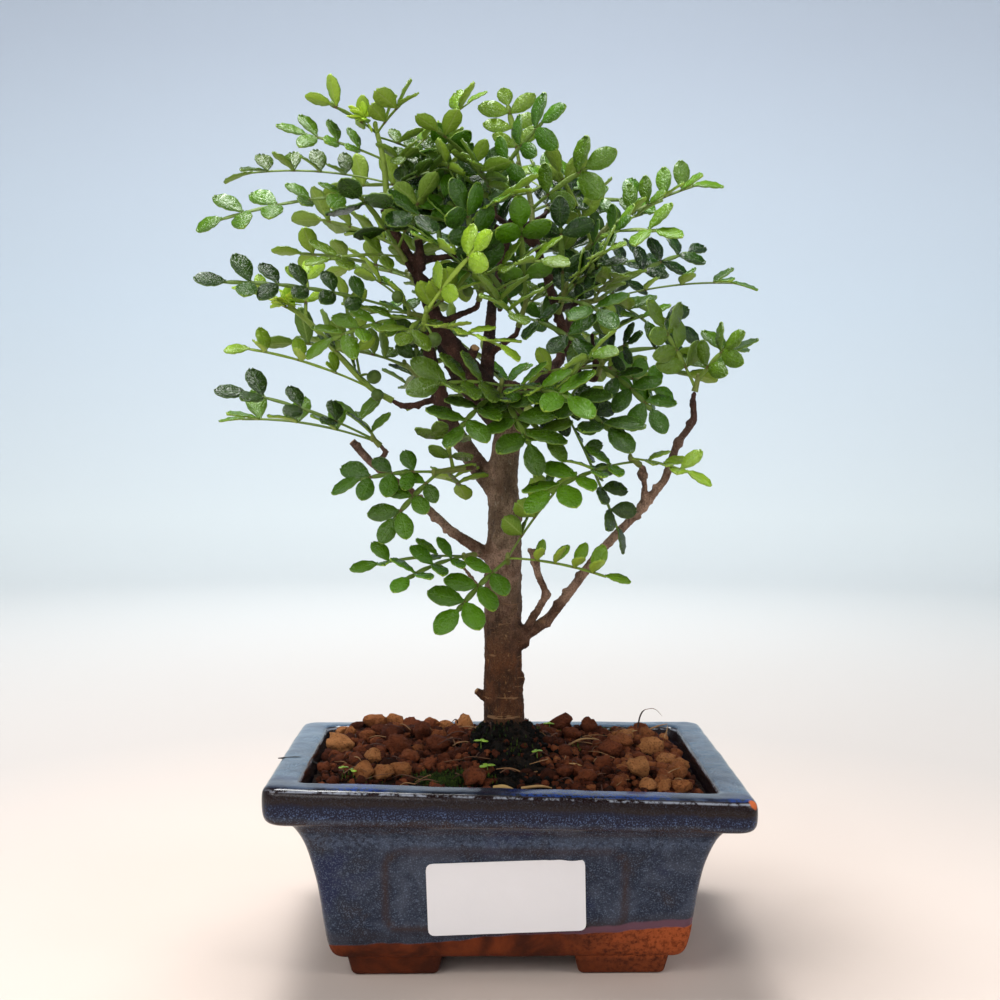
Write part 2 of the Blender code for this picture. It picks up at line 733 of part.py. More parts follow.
def turned(base, tip, swing, rise):
    """The tip, swung round the base and raised."""
    span = tip - base
    level = span.cross(UP)
    if level.length < 0.2 * span.length:
        level = Vector((1, 0, 0))
    lifted = Matrix.Rotation(math.radians(rise), 3, level.normalized()) @ span
    return base + Matrix.Rotation(math.radians(swing), 3, "Z") @ lifted


def clear_spot(base, tip, pairs, lean, others):
    """The first tip and lean, turned in small steps, at which a frond touches none of the others."""
    turns = sorted(((s, r) for s in TURN_STEPS for r in TURN_STEPS), key=lambda t: abs(t[0]) + abs(t[1]))
    for shrink in SHRINK_STEPS:
        for more_lean in LEAN_STEPS:
            for swing, rise in turns:
                trial = turned(base, base.lerp(Vector(tip), shrink), swing, rise)
                test = tree_of(*frond_mesh(base, trial, pairs, lean + more_lean, CLEARANCE, STALK_SHARE))
                if not any(test.overlap(other) for other in others):
                    return trial, lean + more_lean
    raise ValueError("no room for a frond that ends at " + str(tip))


def fixed_solids(sprays):
    """What the fronds keep clear of, a little thicker than it is, each with the spray that owns it."""
    solids = []
    for points, radii, sides in wood_lines(sprays):
        solids.append((None, tree_of(*tube(points, [r + CLEARANCE for r in radii], sides))))
    for name, (shoot, _) in sprays.items():
        radii = [SHOOT_RADIUS + CLEARANCE] * len(shoot)
        solids.append((name, tree_of(*tube(shoot, radii, SHOOT_SIDES))))
    for name, berries in BERRIES.items():
        for x, y, z, radius in berries:
            ends = [(x, y, z - radius), (x, y, z + radius)]
            solids.append((name, tree_of(*tube(ends, [radius, radius], BRANCH_SIDES))))
    return solids


def place_fronds(sprays):
    """Turn each frond in small steps until it clears the wood, the shoots and the fronds before it."""
    solids = fixed_solids(sprays)
    placed = {}
    blades = []
    for name, (shoot, fronds) in sprays.items():
        placed[name] = []
        for share, tip, pairs, lean in fronds:
            base = shoot_point(shoot, share * LAST_FROND)
            others = [solid for owner, solid in solids if owner != name] + blades
            spot, lean = clear_spot(base, tip, pairs, lean, others)
            placed[name].append((base, spot, pairs, lean))
            blades.append(tree_of(*frond_mesh(base, spot, pairs, lean, CLEARANCE, STALK_SHARE)))
            stalk = tube([base, bend(base, spot, STALK_SHARE)], [RACHIS_HALF + CLEARANCE] * 2, 4)
            solids.append((name, tree_of(*stalk)))
    return placed


def make_spray(name, shoot, fronds, berries, material):
    spray = add_object("spray_" + name, *tube(shoot, [SHOOT_RADIUS] * len(shoot), SHOOT_SIDES), material)
    pieces = []
    for base, tip, pairs, lean in fronds:
        pieces.append(add_object("frond", *frond_mesh(base, tip, pairs, lean)))
    for x, y, z, radius in berries:
        middle = Vector((x, y, z))
        ball = bmesh.new()
        bmesh.ops.create_icosphere(ball, subdivisions=1, radius=radius, matrix=Matrix.Translation(middle))
        mesh_points = [v.co.copy() for v in ball.verts]
        mesh_faces = [tuple(v.index for v in f.verts) for f in ball.faces]
        ball.free()
        pieces.append(add_object("berry", mesh_points, mesh_faces))
        root = min((shoot_point(shoot, k / 20) for k in range(6, 19)), key=lambda p: (p - middle).length)
        pieces.append(add_object("stalk", *tube([root, middle], [0.5, 0.5], 4)))
    join_by_boolean(spray, pieces)
    return spray


def centre_on_origin(objects):
    """Move everything sideways until the whole box is centred on the origin."""
    points = [vertex.co for obj in objects for vertex in obj.data.vertices]
    shift = Vector((0, 0, 0))
    for axis in (0, 1):
        along = [point[axis] for point in points]
        shift[axis] = -(min(along) + max(along)) / 2
    for obj in objects:
        obj.location = shift


def main():
    clear_scene()
    leaf = make_material("leaf", (0.06, 0.20, 0.02), 0.35)
    sprays = all_sprays()
    placed = place_fronds(sprays)
    objects = [make_pot(), make_soil(), make_tree(sprays), make_label()]
    objects.append(make_screen("drain_screen_left", -DRAIN_X))
    objects.append(make_screen("drain_screen_right", DRAIN_X))
    for name, (shoot, _) in sprays.items():
        objects.append(make_spray(name, shoot, placed[name], BERRIES.get(name, ()), leaf))
    centre_on_origin(objects)


main()
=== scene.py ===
"""The finished looks of a chinese pepper bonsai in its glazed pot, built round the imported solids.

The pieces are modelled in millimetres, with X to the right, Y to the back and Z up from the floor
under the pot's centre, and each is put in its place in the frame when it is done.
"""

import math
import random

import bmesh
import bpy
from mathutils import Matrix, Vector, noise
from mathutils.bvhtree import BVHTree
from mathutils.kdtree import KDTree


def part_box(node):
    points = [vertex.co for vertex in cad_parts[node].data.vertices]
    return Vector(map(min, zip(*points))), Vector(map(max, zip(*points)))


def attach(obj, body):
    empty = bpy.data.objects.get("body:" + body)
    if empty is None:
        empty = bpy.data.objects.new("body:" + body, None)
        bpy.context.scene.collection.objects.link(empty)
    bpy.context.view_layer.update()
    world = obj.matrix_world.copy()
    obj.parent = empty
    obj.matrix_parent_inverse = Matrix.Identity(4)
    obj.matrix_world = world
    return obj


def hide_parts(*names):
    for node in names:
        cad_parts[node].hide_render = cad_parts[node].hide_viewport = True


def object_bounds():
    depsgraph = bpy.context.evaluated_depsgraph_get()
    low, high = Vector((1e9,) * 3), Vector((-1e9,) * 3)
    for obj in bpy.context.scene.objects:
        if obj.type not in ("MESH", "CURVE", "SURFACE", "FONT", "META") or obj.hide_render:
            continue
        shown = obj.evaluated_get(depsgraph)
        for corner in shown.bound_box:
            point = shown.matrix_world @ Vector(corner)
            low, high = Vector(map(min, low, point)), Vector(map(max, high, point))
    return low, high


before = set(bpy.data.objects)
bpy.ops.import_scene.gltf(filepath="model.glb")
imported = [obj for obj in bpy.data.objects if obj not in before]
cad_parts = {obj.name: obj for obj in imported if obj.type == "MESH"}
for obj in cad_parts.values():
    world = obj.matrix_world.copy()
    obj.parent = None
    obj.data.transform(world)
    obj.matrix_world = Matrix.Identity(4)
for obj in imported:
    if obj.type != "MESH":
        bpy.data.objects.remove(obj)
cad_low, cad_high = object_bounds()
bpy.ops.object.select_all(action="DESELECT")

# Viewpoint
# The photographer stood a little left of the pot's middle, at the height of the lower branches, and
# looked almost level. Everything is placed from the middle of the pot, on the floor.
MM = 0.001
pot_low, pot_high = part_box("pot")
POT_CENTRE = Vector(((pot_low.x + pot_high.x) / 2, (pot_low.y + pot_high.y) / 2, 0))
TO_FRAME = Matrix.Translation(POT_CENTRE) @ Matrix.Scale(MM, 4)
EYE = Vector((-11.63, -395.45, 139.45))
EYE_PAN, EYE_TILT, EYE_ROLL = (math.radians(a) for a in (1.411, 2.261, -0.18))
LENS = 50.83

lens = bpy.data.cameras.new("eye")
lens.lens = LENS
lens.sensor_width = 36
lens.clip_start = 0.01
eye = bpy.data.objects.new("eye", lens)
bpy.context.scene.collection.objects.link(eye)
turn = Matrix.Rotation(-EYE_PAN, 4, "Z") @ Matrix.Rotation(math.pi / 2 - EYE_TILT, 4, "X")
eye.matrix_world = Matrix.Translation(TO_FRAME @ EYE) @ turn @ Matrix.Rotation(-EYE_ROLL, 4, "Z")
bpy.context.scene.camera = eye
bpy.context.scene.view_settings.view_transform = "Standard"


# Studio
# A round pale floor that curves up into a wall all the way round, lit by soft lights, some large and
# some small, as in a room with tall windows.
class Value:
    """A socket of a finish. Arithmetic on it adds Math nodes."""

    def __init__(self, finish, socket):
        self.finish = finish
        self.socket = socket

    def math(self, operation, *values):
        return self.finish.node("ShaderNodeMath", {"operation": operation}, values)

    def __add__(self, other):
        return self.math("ADD", self, other)

    def __radd__(self, other):
        return self.math("ADD", other, self)

    def __sub__(self, other):
        return self.math("SUBTRACT", self, other)

    def __rsub__(self, other):
        return self.math("SUBTRACT", other, self)

    def __mul__(self, other):
        return self.math("MULTIPLY", self, other)

    def __rmul__(self, other):
        return self.math("MULTIPLY", other, self)

    def __truediv__(self, other):
        return self.math("DIVIDE", self, other)

    def __abs__(self):
        return self.math("ABSOLUTE", self)

    def sine(self):
        return self.math("SINE", self)

    def above(self, low, high):
        """0 below low and 1 above high, smoothly between. The other way round if high is below low."""
        settings = {"interpolation_type": "SMOOTHSTEP"}
        if high < low:
            return 1 - self.above(high, low)
        return self.finish.node("ShaderNodeMapRange", settings, (self, low, high, 0.0, 1.0))

    def near(self, middle, reach):
        """1 at the middle value, falling to 0 at the reach on both sides."""
        return abs(self - middle).above(reach, 0.0)

    def clamped(self):
        return self.finish.node("ShaderNodeClamp", {}, (self, 0.0, 1.0))


class Finish:
    """A material whose nodes are added one expression at a time."""

    def __init__(self, name):
        self.material = bpy.data.materials.new(name)
        self.material.use_nodes = True
        self.tree = self.material.node_tree
        self.shader = self.tree.nodes["Principled BSDF"]

    def node(self, kind, settings, inputs, output=0):
        """Add a node, set it up, and give its input sockets values or links."""
        made = self.tree.nodes.new(kind)
        for name, value in settings.items():
            if name == "stops":
                for k, (place, colour) in enumerate(value):
                    stop = made.color_ramp.elements[k] if k < 2 else made.color_ramp.elements.new(place)
                    stop.position = place
                    stop.color = (*colour, 1)
            else:
                setattr(made, name, value)
        pairs = inputs.items() if isinstance(inputs, dict) else enumerate(inputs)
        for key, value in pairs:
            if isinstance(value, Value):
                self.tree.links.new(value.socket, made.inputs[key])
            else:
                made.inputs[key].default_value = value
        return Value(self, made.outputs[output])

    def place(self):
        return self.node("ShaderNodeTexCoord", {}, {}, "Object")

    def parts(self, vector):
        return [self.node("ShaderNodeSeparateXYZ", {}, {0: vector}, k) for k in range(3)]

    def painted(self, name, output="Fac"):
        return self.node("ShaderNodeAttribute", {"attribute_name": name}, {}, output)

    def clouds(self, scale, detail=3.0, rough=0.5, vector=None, warp=0.0):
        inputs = {"Vector": vector or self.place(), "Scale": scale, "Detail": detail,
                  "Roughness": rough, "Distortion": warp}
        return self.node("ShaderNodeTexNoise", {}, inputs)

    def cells(self, scale, feature="F1", vector=None, output="Distance"):
        inputs = {"Vector": vector or self.place(), "Scale": scale}
        return self.node("ShaderNodeTexVoronoi", {"feature": feature}, inputs, output)

    def mix(self, share, first, second):
        ends = [(*c, 1) if isinstance(c, tuple) else c for c in (first, second)]
        return self.node("ShaderNodeMix", {"data_type": "RGBA"}, {0: share, 6: ends[0], 7: ends[1]}, 2)

    def layers(self, colour, *coats):
        """The colour under coats that each cover it by their own share, one over another."""
        for share, coat in coats:
            colour = self.mix(share, colour, coat)
        return colour

    def ramp(self, share, *stops):
        return self.node("ShaderNodeValToRGB", {"stops": stops}, {0: share})

    def bump(self, height, distance, strength=1.0, under=None):
        inputs = {"Strength": strength, "Distance": distance, "Height": height}
        if under:
            inputs["Normal"] = under
        return self.node("ShaderNodeBump", {}, inputs)

    def surface(self, **sockets):
        """Set or link the shader's own sockets, named with _ for a blank."""
        for name, value in sockets.items():
            socket = self.shader.inputs[name.replace("_", " ").title().replace("Ior", "IOR")]
            if isinstance(value, Value):
                self.tree.links.new(value.socket, socket)
            else:
                socket.default_value = (*value, 1) if isinstance(value, tuple) else value
        return self.material


def edit_all():
    """Open the active mesh in edit mode with all of it selected."""
    bpy.ops.object.mode_set(mode="EDIT")
    bpy.ops.mesh.select_all(action="SELECT")


FLOOR_RADIUS = 1.05
SWEEP_RADIUS = 0.45
WALL_HEIGHT = 1.5
SWEEP_STEPS = 10
# Tones of the paper by the distance along it from the middle, in shares of PAPER_REACH: its own pale
# colour with painted light in it, lighter and warmer round the pot's foot where its shadow falls,
# brightest where the floor curves up and darker towards the top of the wall
PAPER_REACH = 2.4
PAPER_TONES_AND_PAINTED_LIGHT = (
    (0.04, (0.670, 0.560, 0.490)), (0.12, (0.560, 0.515, 0.482)), (0.38, (0.640, 0.650, 0.640)),
    (0.55, (0.700, 0.742, 0.748)), (0.75, (0.610, 0.680, 0.750)), (0.90, (0.545, 0.596, 0.684)),
)
SKY_COLOUR = (0.86, 0.93, 1.0)
SKY_STRENGTH = 0.055

bpy.ops.mesh.primitive_circle_add(vertices=96, radius=FLOOR_RADIUS, fill_type="NGON")
sweep = bpy.context.object
sweep.name = "sweep"
edit_all()
reach, height = FLOOR_RADIUS, 0.0
for step in range(1, SWEEP_STEPS + 2):
    angle = min(step / SWEEP_STEPS, 1.0) * math.pi / 2
    next_reach = FLOOR_RADIUS + SWEEP_RADIUS * math.sin(angle)
    next_height = SWEEP_RADIUS * (1 - math.cos(angle)) if step <= SWEEP_STEPS else WALL_HEIGHT
    bpy.ops.mesh.extrude_region_move(TRANSFORM_OT_translate={"value": (0, 0, next_height - height)})
    bpy.ops.transform.resize(value=(next_reach / reach, next_reach / reach, 1))
    reach, height = next_reach, next_height
bpy.ops.mesh.delete(type="ONLY_FACE")
bpy.ops.mesh.select_all(action="SELECT")
bpy.ops.mesh.normals_make_consistent(inside=True)
bpy.ops.object.mode_set(mode="OBJECT")
bpy.ops.object.shade_smooth()
paint = Finish("studio_paper")
x, y, z = paint.parts(paint.place())
away = x * x + y * y
along_paper = away.math("SQRT", away) + z
# Painted light in the paper's colour: lighter round the pot's foot, brightest at the curve, darker up high
sweep.data.materials.append(paint.surface(
    base_color=paint.ramp(along_paper / PAPER_REACH, *PAPER_TONES_AND_PAINTED_LIGHT), roughness=0.9))

# Each light: where it stands and aims and its width in metres, power in watts, colour. The last one
# lights the wall behind.
PLANT = (0, 0, 0.12)
LIGHTS = (
    ((-0.70, -0.60, 0.80), PLANT, 0.65, 4.7, (1.0, 0.98, 0.95)),
    ((0.85, -0.50, 0.60), PLANT, 0.40, 2.9, (1.0, 0.97, 0.92)),
    ((-0.12, 0.12, 1.10), PLANT, 0.40, 15.5, (0.98, 0.99, 1.0)),
    ((-0.15, -0.95, 0.34), PLANT, 0.22, 0.85, (1.0, 0.98, 0.96)),
    ((-0.42, -0.72, 0.42), PLANT, 0.10, 0.75, (1.0, 0.99, 0.98)),
    ((0.0, 0.70, 0.66), (0, 1.5, 0.02), 0.55, 3.4, (0.93, 0.98, 1.0)),
)
for light_place, light_aim, width, power, colour in LIGHTS:
    bpy.ops.object.light_add(type="AREA", location=light_place)
    light = bpy.context.object
    light.rotation_euler = (Vector(light_aim) - Vector(light_place)).to_track_quat("-Z", "Y").to_euler()
    light.data.size = width
    light.data.energy = power
    light.data.color = colour
world = bpy.data.worlds.new("daylight")
bpy.context.scene.world = world
world.use_nodes = True
sky = world.node_tree.nodes["Background"].inputs
sky["Color"].default_value = (*SKY_COLOUR, 1)
sky["Strength"].default_value = SKY_STRENGTH

# Pot
# One piece of slip-cast stoneware with a thick rounded rim over a cove, a flared wall with a thin
# raised line round each side, four corner feet and two drain holes. It was fired a little out of
# true, and dipped in a mottled blue glaze that breaks brown on edges and stops short of the feet.
RIM_HALF_X = 62.5
RIM_HALF_Y = 47.8
SIDE_LESS = RIM_HALF_X - RIM_HALF_Y
RIM_LIFT = 2.0
BASE_Z = 5.0
FLOOR_Z = 10.0
INNER_FLOOR_HALF_X = 41.5
POT_BASE_HALF_X = 45.0
POT_CORNER = 2.6
POT_CELLS = 24
# Half width and height of each level, up the outside, over the rim and down the inside
POT_LEVELS = (
    (46.6, 6.4), (47.6, 10.0), (48.3, 15.0), (49.0, 21.0), (50.6, 30.0), (53.0, 37.5), (55.6, 41.8),
    (57.6, 42.6), (60.2, 42.8), (61.8, 43.6), (62.4, 45.4), (RIM_HALF_X, 48.2), (62.4, 50.7), (61.6, 51.9),
    (60.2, 52.3), (57.5, 52.3), (55.2, 52.3), (54.0, 51.9), (53.4, 50.9), (52.6, 47.5), (48.2, 31.0),
    (43.0, 13.5), (INNER_FLOOR_HALF_X, FLOOR_Z),
)
FOOT_X = (17.0, 42.6)
FOOT_Y = (12.0, 30.8)
FOOT_SIZE = (FOOT_X[1] - FOOT_X[0], FOOT_Y[1] - FOOT_Y[0], BASE_Z + 1.5)
FOOT_TAPER = 1.5
FOOT_EDGE = 1.3
DRAIN_X = 22.0
DRAIN_RADIUS = 5.0
# The raised line: middle and half size of its outline on the long and the short sides
LINE_MIDDLE = (-1.0, 24.2)
LINE_HALF = (31.0, 10.6)
LINE_HALF_SIDE = 18.0
LINE_CORNER = 4.0
LINE_WIDTH = 0.85
LINE_HEIGHT = 0.42
CLAY_LUMP = 14
CLAY_UNEVEN = 0.5


def apply_modifier(piece, kind, **settings):
    bpy.context.view_layer.objects.active = piece
    modifier = piece.modifiers.new(kind.lower(), kind)
    for name, value in settings.items():
        setattr(modifier, name, value)
    bpy.ops.object.modifier_apply(modifier=modifier.name)


def join_solids(piece, others, operation="UNION"):
    """One Boolean of the other solids and the piece, which then are removed."""
    group = bpy.data.collections.new(piece.name + "_group")
    for other in others:
        group.objects.link(other)
    apply_modifier(piece, "BOOLEAN", operation=operation, operand_type="COLLECTION", collection=group,
                   solver="MANIFOLD")
    for other in others:
        bpy.data.objects.remove(other)
    bpy.data.collections.remove(group)


def select_verts(mesh, test):
    """In edit mode: select the vertices whose place passes the test."""
    shape = bmesh.from_edit_mesh(mesh)
    for vert in shape.verts:
        vert.select = test(vert.co)
    shape.select_flush_mode()
    shape.select_flush(True)
    bmesh.update_edit_mesh(mesh)


def shade_by_angle(piece, degrees):
    """Smooth, apart from edges sharper than the angle."""
    bpy.context.view_layer.objects.active = piece
    piece.select_set(True)
    bpy.ops.object.shade_smooth_by_angle(angle=math.radians(degrees))


def verts_and_normals(mesh):
    """Each vertex with the normal that it had before any of them moved."""
    return zip(mesh.vertices, [v.normal.copy() for v in mesh.vertices])


def add_values(mesh, name, values):
    mesh.attributes.new(name, "FLOAT", "POINT").data.foreach_set("value", values)


def put_in_frame(piece, material, node, slot, name=None):
    """Millimetres round the pot's middle become metres in the frame, and the piece rides there."""
    piece.data.materials.clear()
    piece.data.materials.append(material)
    piece.data.transform(TO_FRAME)
    if name:
        piece.name = name
    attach(piece, "root")
    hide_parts(node)
    piece.select_set(False)


def pot_lift(x, y, z):
    """The front edge of the rim rises to the left."""
    high = min(max((z - 30.0) / 20.0, 0.0), 1.0)
    return -RIM_LIFT * (x / RIM_HALF_X) * (0.5 - y / (2 * RIM_HALF_Y)) * high


bpy.ops.mesh.primitive_plane_add(size=2 * POT_BASE_HALF_X, location=(0, 0, 0))
pot = bpy.context.object
edit_all()
half_x, half_y, height = POT_BASE_HALF_X, POT_BASE_HALF_X - SIDE_LESS, BASE_Z
bpy.ops.transform.resize(value=(1, half_y / half_x, 1))
bpy.ops.transform.translate(value=(0, 0, height))
bpy.ops.mesh.subdivide(number_cuts=POT_CELLS - 1)
select_verts(pot.data, lambda p: abs(p.x) > POT_BASE_HALF_X - 0.1 and abs(p.y) > half_y - 0.1)
bpy.ops.mesh.bevel(offset=POT_CORNER, segments=5, affect="VERTICES", clamp_overlap=False)
bpy.ops.mesh.select_all(action="SELECT")
for next_x, next_z in POT_LEVELS:
    bpy.ops.mesh.extrude_region_move(TRANSFORM_OT_translate={"value": (0, 0, next_z - height)})
    next_y = next_x - SIDE_LESS
    bpy.ops.transform.resize(value=(next_x / half_x, next_y / half_y, 1))
    half_x, half_y, height = next_x, next_y, next_z
bpy.ops.mesh.select_all(action="SELECT")
bpy.ops.mesh.normals_make_consistent(inside=False)
bpy.ops.object.mode_set(mode="OBJECT")
apply_modifier(pot, "SUBSURF", levels=2, render_levels=2)

feet = []
for side_x in (-1, 1):
    for side_y in (-1, 1):
        middle = (side_x * sum(FOOT_X) / 2, side_y * sum(FOOT_Y) / 2, FOOT_SIZE[2] / 2)
        bpy.ops.mesh.primitive_cube_add(size=1, location=middle)
        foot = bpy.context.object
        edit_all()
        bpy.ops.transform.resize(value=FOOT_SIZE)
        select_verts(foot.data, lambda p: p.z < 0)
        bpy.ops.transform.resize(value=(*(1 - 2 * FOOT_TAPER / size for size in FOOT_SIZE[:2]), 1))
        bpy.ops.object.mode_set(mode="OBJECT")
        apply_modifier(foot, "BEVEL", width=FOOT_EDGE, segments=3, limit_method="ANGLE", angle_limit=0.5)
        feet.append(foot)
bpy.ops.object.select_all(action="DESELECT")
join_solids(pot, feet)
drains = []
for x in (-DRAIN_X, DRAIN_X):
    bpy.ops.mesh.primitive_cylinder_add(vertices=40, radius=DRAIN_RADIUS, depth=16, location=(x, 0, 7))
    drains.append(bpy.context.object)
join_solids(pot, drains, "DIFFERENCE")
uneven_clay = bpy.data.textures.new("uneven_clay", "CLOUDS")
uneven_clay.noise_scale = CLAY_LUMP
apply_modifier(pot, "DISPLACE", texture=uneven_clay, strength=CLAY_UNEVEN, mid_level=0.5)


def outline_distance(across, up, half_across, half_up):
    """How far a point of a wall is from the raised line there, outside it or inside."""
    far_x = abs(across) - (half_across - LINE_CORNER)
    far_z = abs(up) - (half_up - LINE_CORNER)
    outside = math.hypot(max(far_x, 0), max(far_z, 0))
    return abs(outside + min(max(far_x, far_z), 0) - LINE_CORNER)


raised = []
for vert, normal in verts_and_normals(pot.data):
    x, y, z = vert.co
    line = 0.0
    if 11 < z < 38 and normal.z < 0.2 and (abs(x) > 46 or abs(y) > 31):
        if abs(normal.y) > abs(normal.x):
            far = outline_distance(x - LINE_MIDDLE[0], z - LINE_MIDDLE[1], *LINE_HALF)
        else:
            far = outline_distance(y, z - LINE_MIDDLE[1], LINE_HALF_SIDE, LINE_HALF[1])
        line = math.exp(-(far / LINE_WIDTH) ** 2)
        vert.co += normal * LINE_HEIGHT * line
    vert.co.z = max(vert.co.z + pot_lift(x, y, z), 0.0)
    vert.co.y = max(vert.co.y, -RIM_HALF_Y)
    raised.append(line)
add_values(pot.data, "raised_line", raised)
shade_by_angle(pot, 40)

# Glaze line: its height at the middle, and how it climbs to the right
GLAZE_LINE = 11.4
GLAZE_CLIMB = 0.055
# A chip in the rim's right front corner that shows the clay
CHIP = (61.2, -46.2, 49.6)
STEEL_BLUE = (0.012, 0.019, 0.038)
SLATE = (0.052, 0.064, 0.094)
UMBER = (0.026, 0.020, 0.021)
PALE_SPECK = (0.150, 0.200, 0.290)
DEEP_BLUE = (0.007, 0.013, 0.048)
BREAK_BROWN = (0.036, 0.018, 0.014)
RIM_NAVY = (0.004, 0.005, 0.019)
RIM_BROWN = (0.011, 0.004, 0.003)
RIM_SPECK = (0.080, 0.130, 0.260)
WALL_PALE = (0.070, 0.098, 0.160)
# The pale of a painted highlight along the rim's rounded top edge
EDGE_PAINTED_HIGHLIGHT = (0.400, 0.430, 0.500)
# Pale blue-grey of the rim's top at the sides and back, a painted reflection
TOP_PAINTED_REFLECTION = ((0.030, 0.048, 0.082), (0.060, 0.105, 0.160))
TOP_DARK = ((0.008, 0.010, 0.022), (0.045, 0.064, 0.105))
TOP_BLUE = (0.014, 0.045, 0.220)
TOP_SPECK = (0.36, 0.41, 0.46)
COVE_GREY = (0.026, 0.010, 0.006)
BAND_PINK = (0.140, 0.060, 0.085)
CLAY = (0.168, 0.031, 0.006)
CLAY_DARK = (0.050, 0.009, 0.002)
CLAY_ORANGE = (0.55, 0.125, 0.035)

glaze = Finish("blue_glaze")
x, y, z = glaze.parts(glaze.place())
x = (x - POT_CENTRE.x) / MM
y = (y - POT_CENTRE.y) / MM
z = z / MM
level_z = z + RIM_LIFT * (x / RIM_HALF_X) * (0.5 - y / (2 * RIM_HALF_Y)) * z.above(30, 50)
broad = glaze.clouds(38, 4, 0.55)
patches = glaze.clouds(90, 5, 0.6, warp=0.6)
fine = glaze.clouds(900, 3, 0.7)
specks = glaze.clouds(2600, 2, 0.6)
speckle = (fine * 0.22 + specks * 0.78).above(0.50, 0.66)
run = level_z + (patches - 0.5) * 3.0
rim_low = glaze.mix(speckle * run.above(49.5, 45.5) * 0.85, RIM_NAVY, RIM_SPECK)
broken = (patches * 0.5 + fine * 0.5).above(0.46, 0.56)
on_top = level_z.above(51.7, 52.0)
# The rim's top: a painted reflection, pale at the sides and back; the front strip stays dark glaze
front_strip = (y + x.above(-25, -50) * -6).above(-38.0, -41.5)
mottled = glaze.mix(patches.above(0.44, 0.66), *TOP_DARK)
mottled = glaze.mix(broad.above(0.44, 0.60) * fine.above(0.42, 0.56), mottled, TOP_BLUE)
pale = glaze.mix(speckle * 0.30, glaze.mix(patches.above(0.36, 0.58), *TOP_PAINTED_REFLECTION), TOP_SPECK)
line = z - x * GLAZE_CLIMB - (glaze.clouds(70, 3) - 0.5) * 3.5
band_width = (x * 0.022 + 0.2).clamped() * 1.7 + 0.5
bare = line.above(GLAZE_LINE + 0.25, GLAZE_LINE - 0.25)
thin = (line.near(GLAZE_LINE + 1.5, 4.0) * (broad * 1.6).clamped()).clamped() * 0.65
corner = (abs(x) - z * 0.17).above(46.0, 51.5) * z.above(44.0, 40.0) * (y + z * 0.10).above(-30.0, -36.0)
chip_far = glaze.node("ShaderNodeVectorMath", {"operation": "DISTANCE"}, {
    0: glaze.place(), 1: TO_FRAME @ Vector(CHIP)}, "Value") / MM
chip = (chip_far + (patches - 0.5) * 1.8).above(1.9, 1.4)
pink = (line - GLAZE_LINE - band_width).above(0.35, -0.35)
clay_colour = glaze.layers(
    glaze.mix(patches.above(0.36, 0.66), CLAY_DARK, CLAY),
    (x.above(5, 45) * fine.above(0.3, 0.6) * 0.55, CLAY_ORANGE),
    (z.above(5.4, 3.8) * 0.5, CLAY_DARK))
colour = glaze.layers(
    STEEL_BLUE,
    (patches.above(0.42, 0.64) * 0.7, SLATE),
    ((broad.above(0.54, 0.64) * patches.above(0.42, 0.56)).clamped(), DEEP_BLUE),
    (patches.above(0.46, 0.30) * 0.6, UMBER),
    (run.near(42.8, 2.4) * 0.9, COVE_GREY),
    (run.near(40.4, 1.0) * 0.4, BREAK_BROWN),
    (run.near(37.4, 3.0) * fine.above(0.35, 0.60) * 0.6, WALL_PALE),
    (speckle * 0.48, PALE_SPECK),
    ((glaze.painted("raised_line") * (0.42 + patches * 0.7)).clamped(), BREAK_BROWN),
    (run.above(44.4, 45.6), rim_low),
    (run.above(47.4, 49.0), glaze.mix(speckle * 0.10, RIM_BROWN, PALE_SPECK)),
    # Painted highlight: a broken pale line along the rim's top edge
    ((level_z.near(51.35, 0.42) * broken).clamped() * 0.65, EDGE_PAINTED_HIGHLIGHT),
    # Top of the rim: dark glaze at the front, the painted reflection elsewhere
    (on_top, glaze.mix(front_strip, pale, mottled)),
    ((thin + corner * 0.5).clamped(), UMBER),
    (pink * (x * 0.03 + 0.25).clamped() * 0.85, BAND_PINK),
    (bare, clay_colour),
    (chip, CLAY_ORANGE))
matte = (bare + chip).clamped()
roughness = (0.16 + patches * 0.16) * (1 - matte) + matte * 0.85
grain = glaze.bump(glaze.clouds(1100, 4, 0.65), 0.00035, matte * 0.9)
dimples = glaze.bump(patches * 0.6 + glaze.clouds(260, 2) * 0.4, 0.0006, 0.35, under=grain)
wet = (level_z.above(50.9, 51.6) * 0.38 - on_top * 0.26 + 0.05) * (1 - matte)
put_in_frame(pot, glaze.surface(
    base_color=colour, roughness=roughness, normal=dimples, specular_ior_level=0.22,
    coat_weight=wet, coat_roughness=0.07), "pot", "glaze", "glazed_pot")

# Drain screens
# Squares of black plastic mesh laid over the drain holes inside the pot, to hold the soil in. Their
# solids have the right shape and stay, with a finish of their own.
screen_finish = Finish("black_mesh")
scuffs = screen_finish.clouds(400, 4)
screen_material = screen_finish.surface(
    base_color=screen_finish.mix(scuffs, (0.012, 0.012, 0.012), (0.035, 0.034, 0.032)),
    roughness=scuffs * 0.3 + 0.4, normal=screen_finish.bump(scuffs, 0.0002))
for side in ("left", "right"):
    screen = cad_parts["drain_screen_" + side]
    screen.data.materials.clear()
    screen.data.materials.append(screen_material)

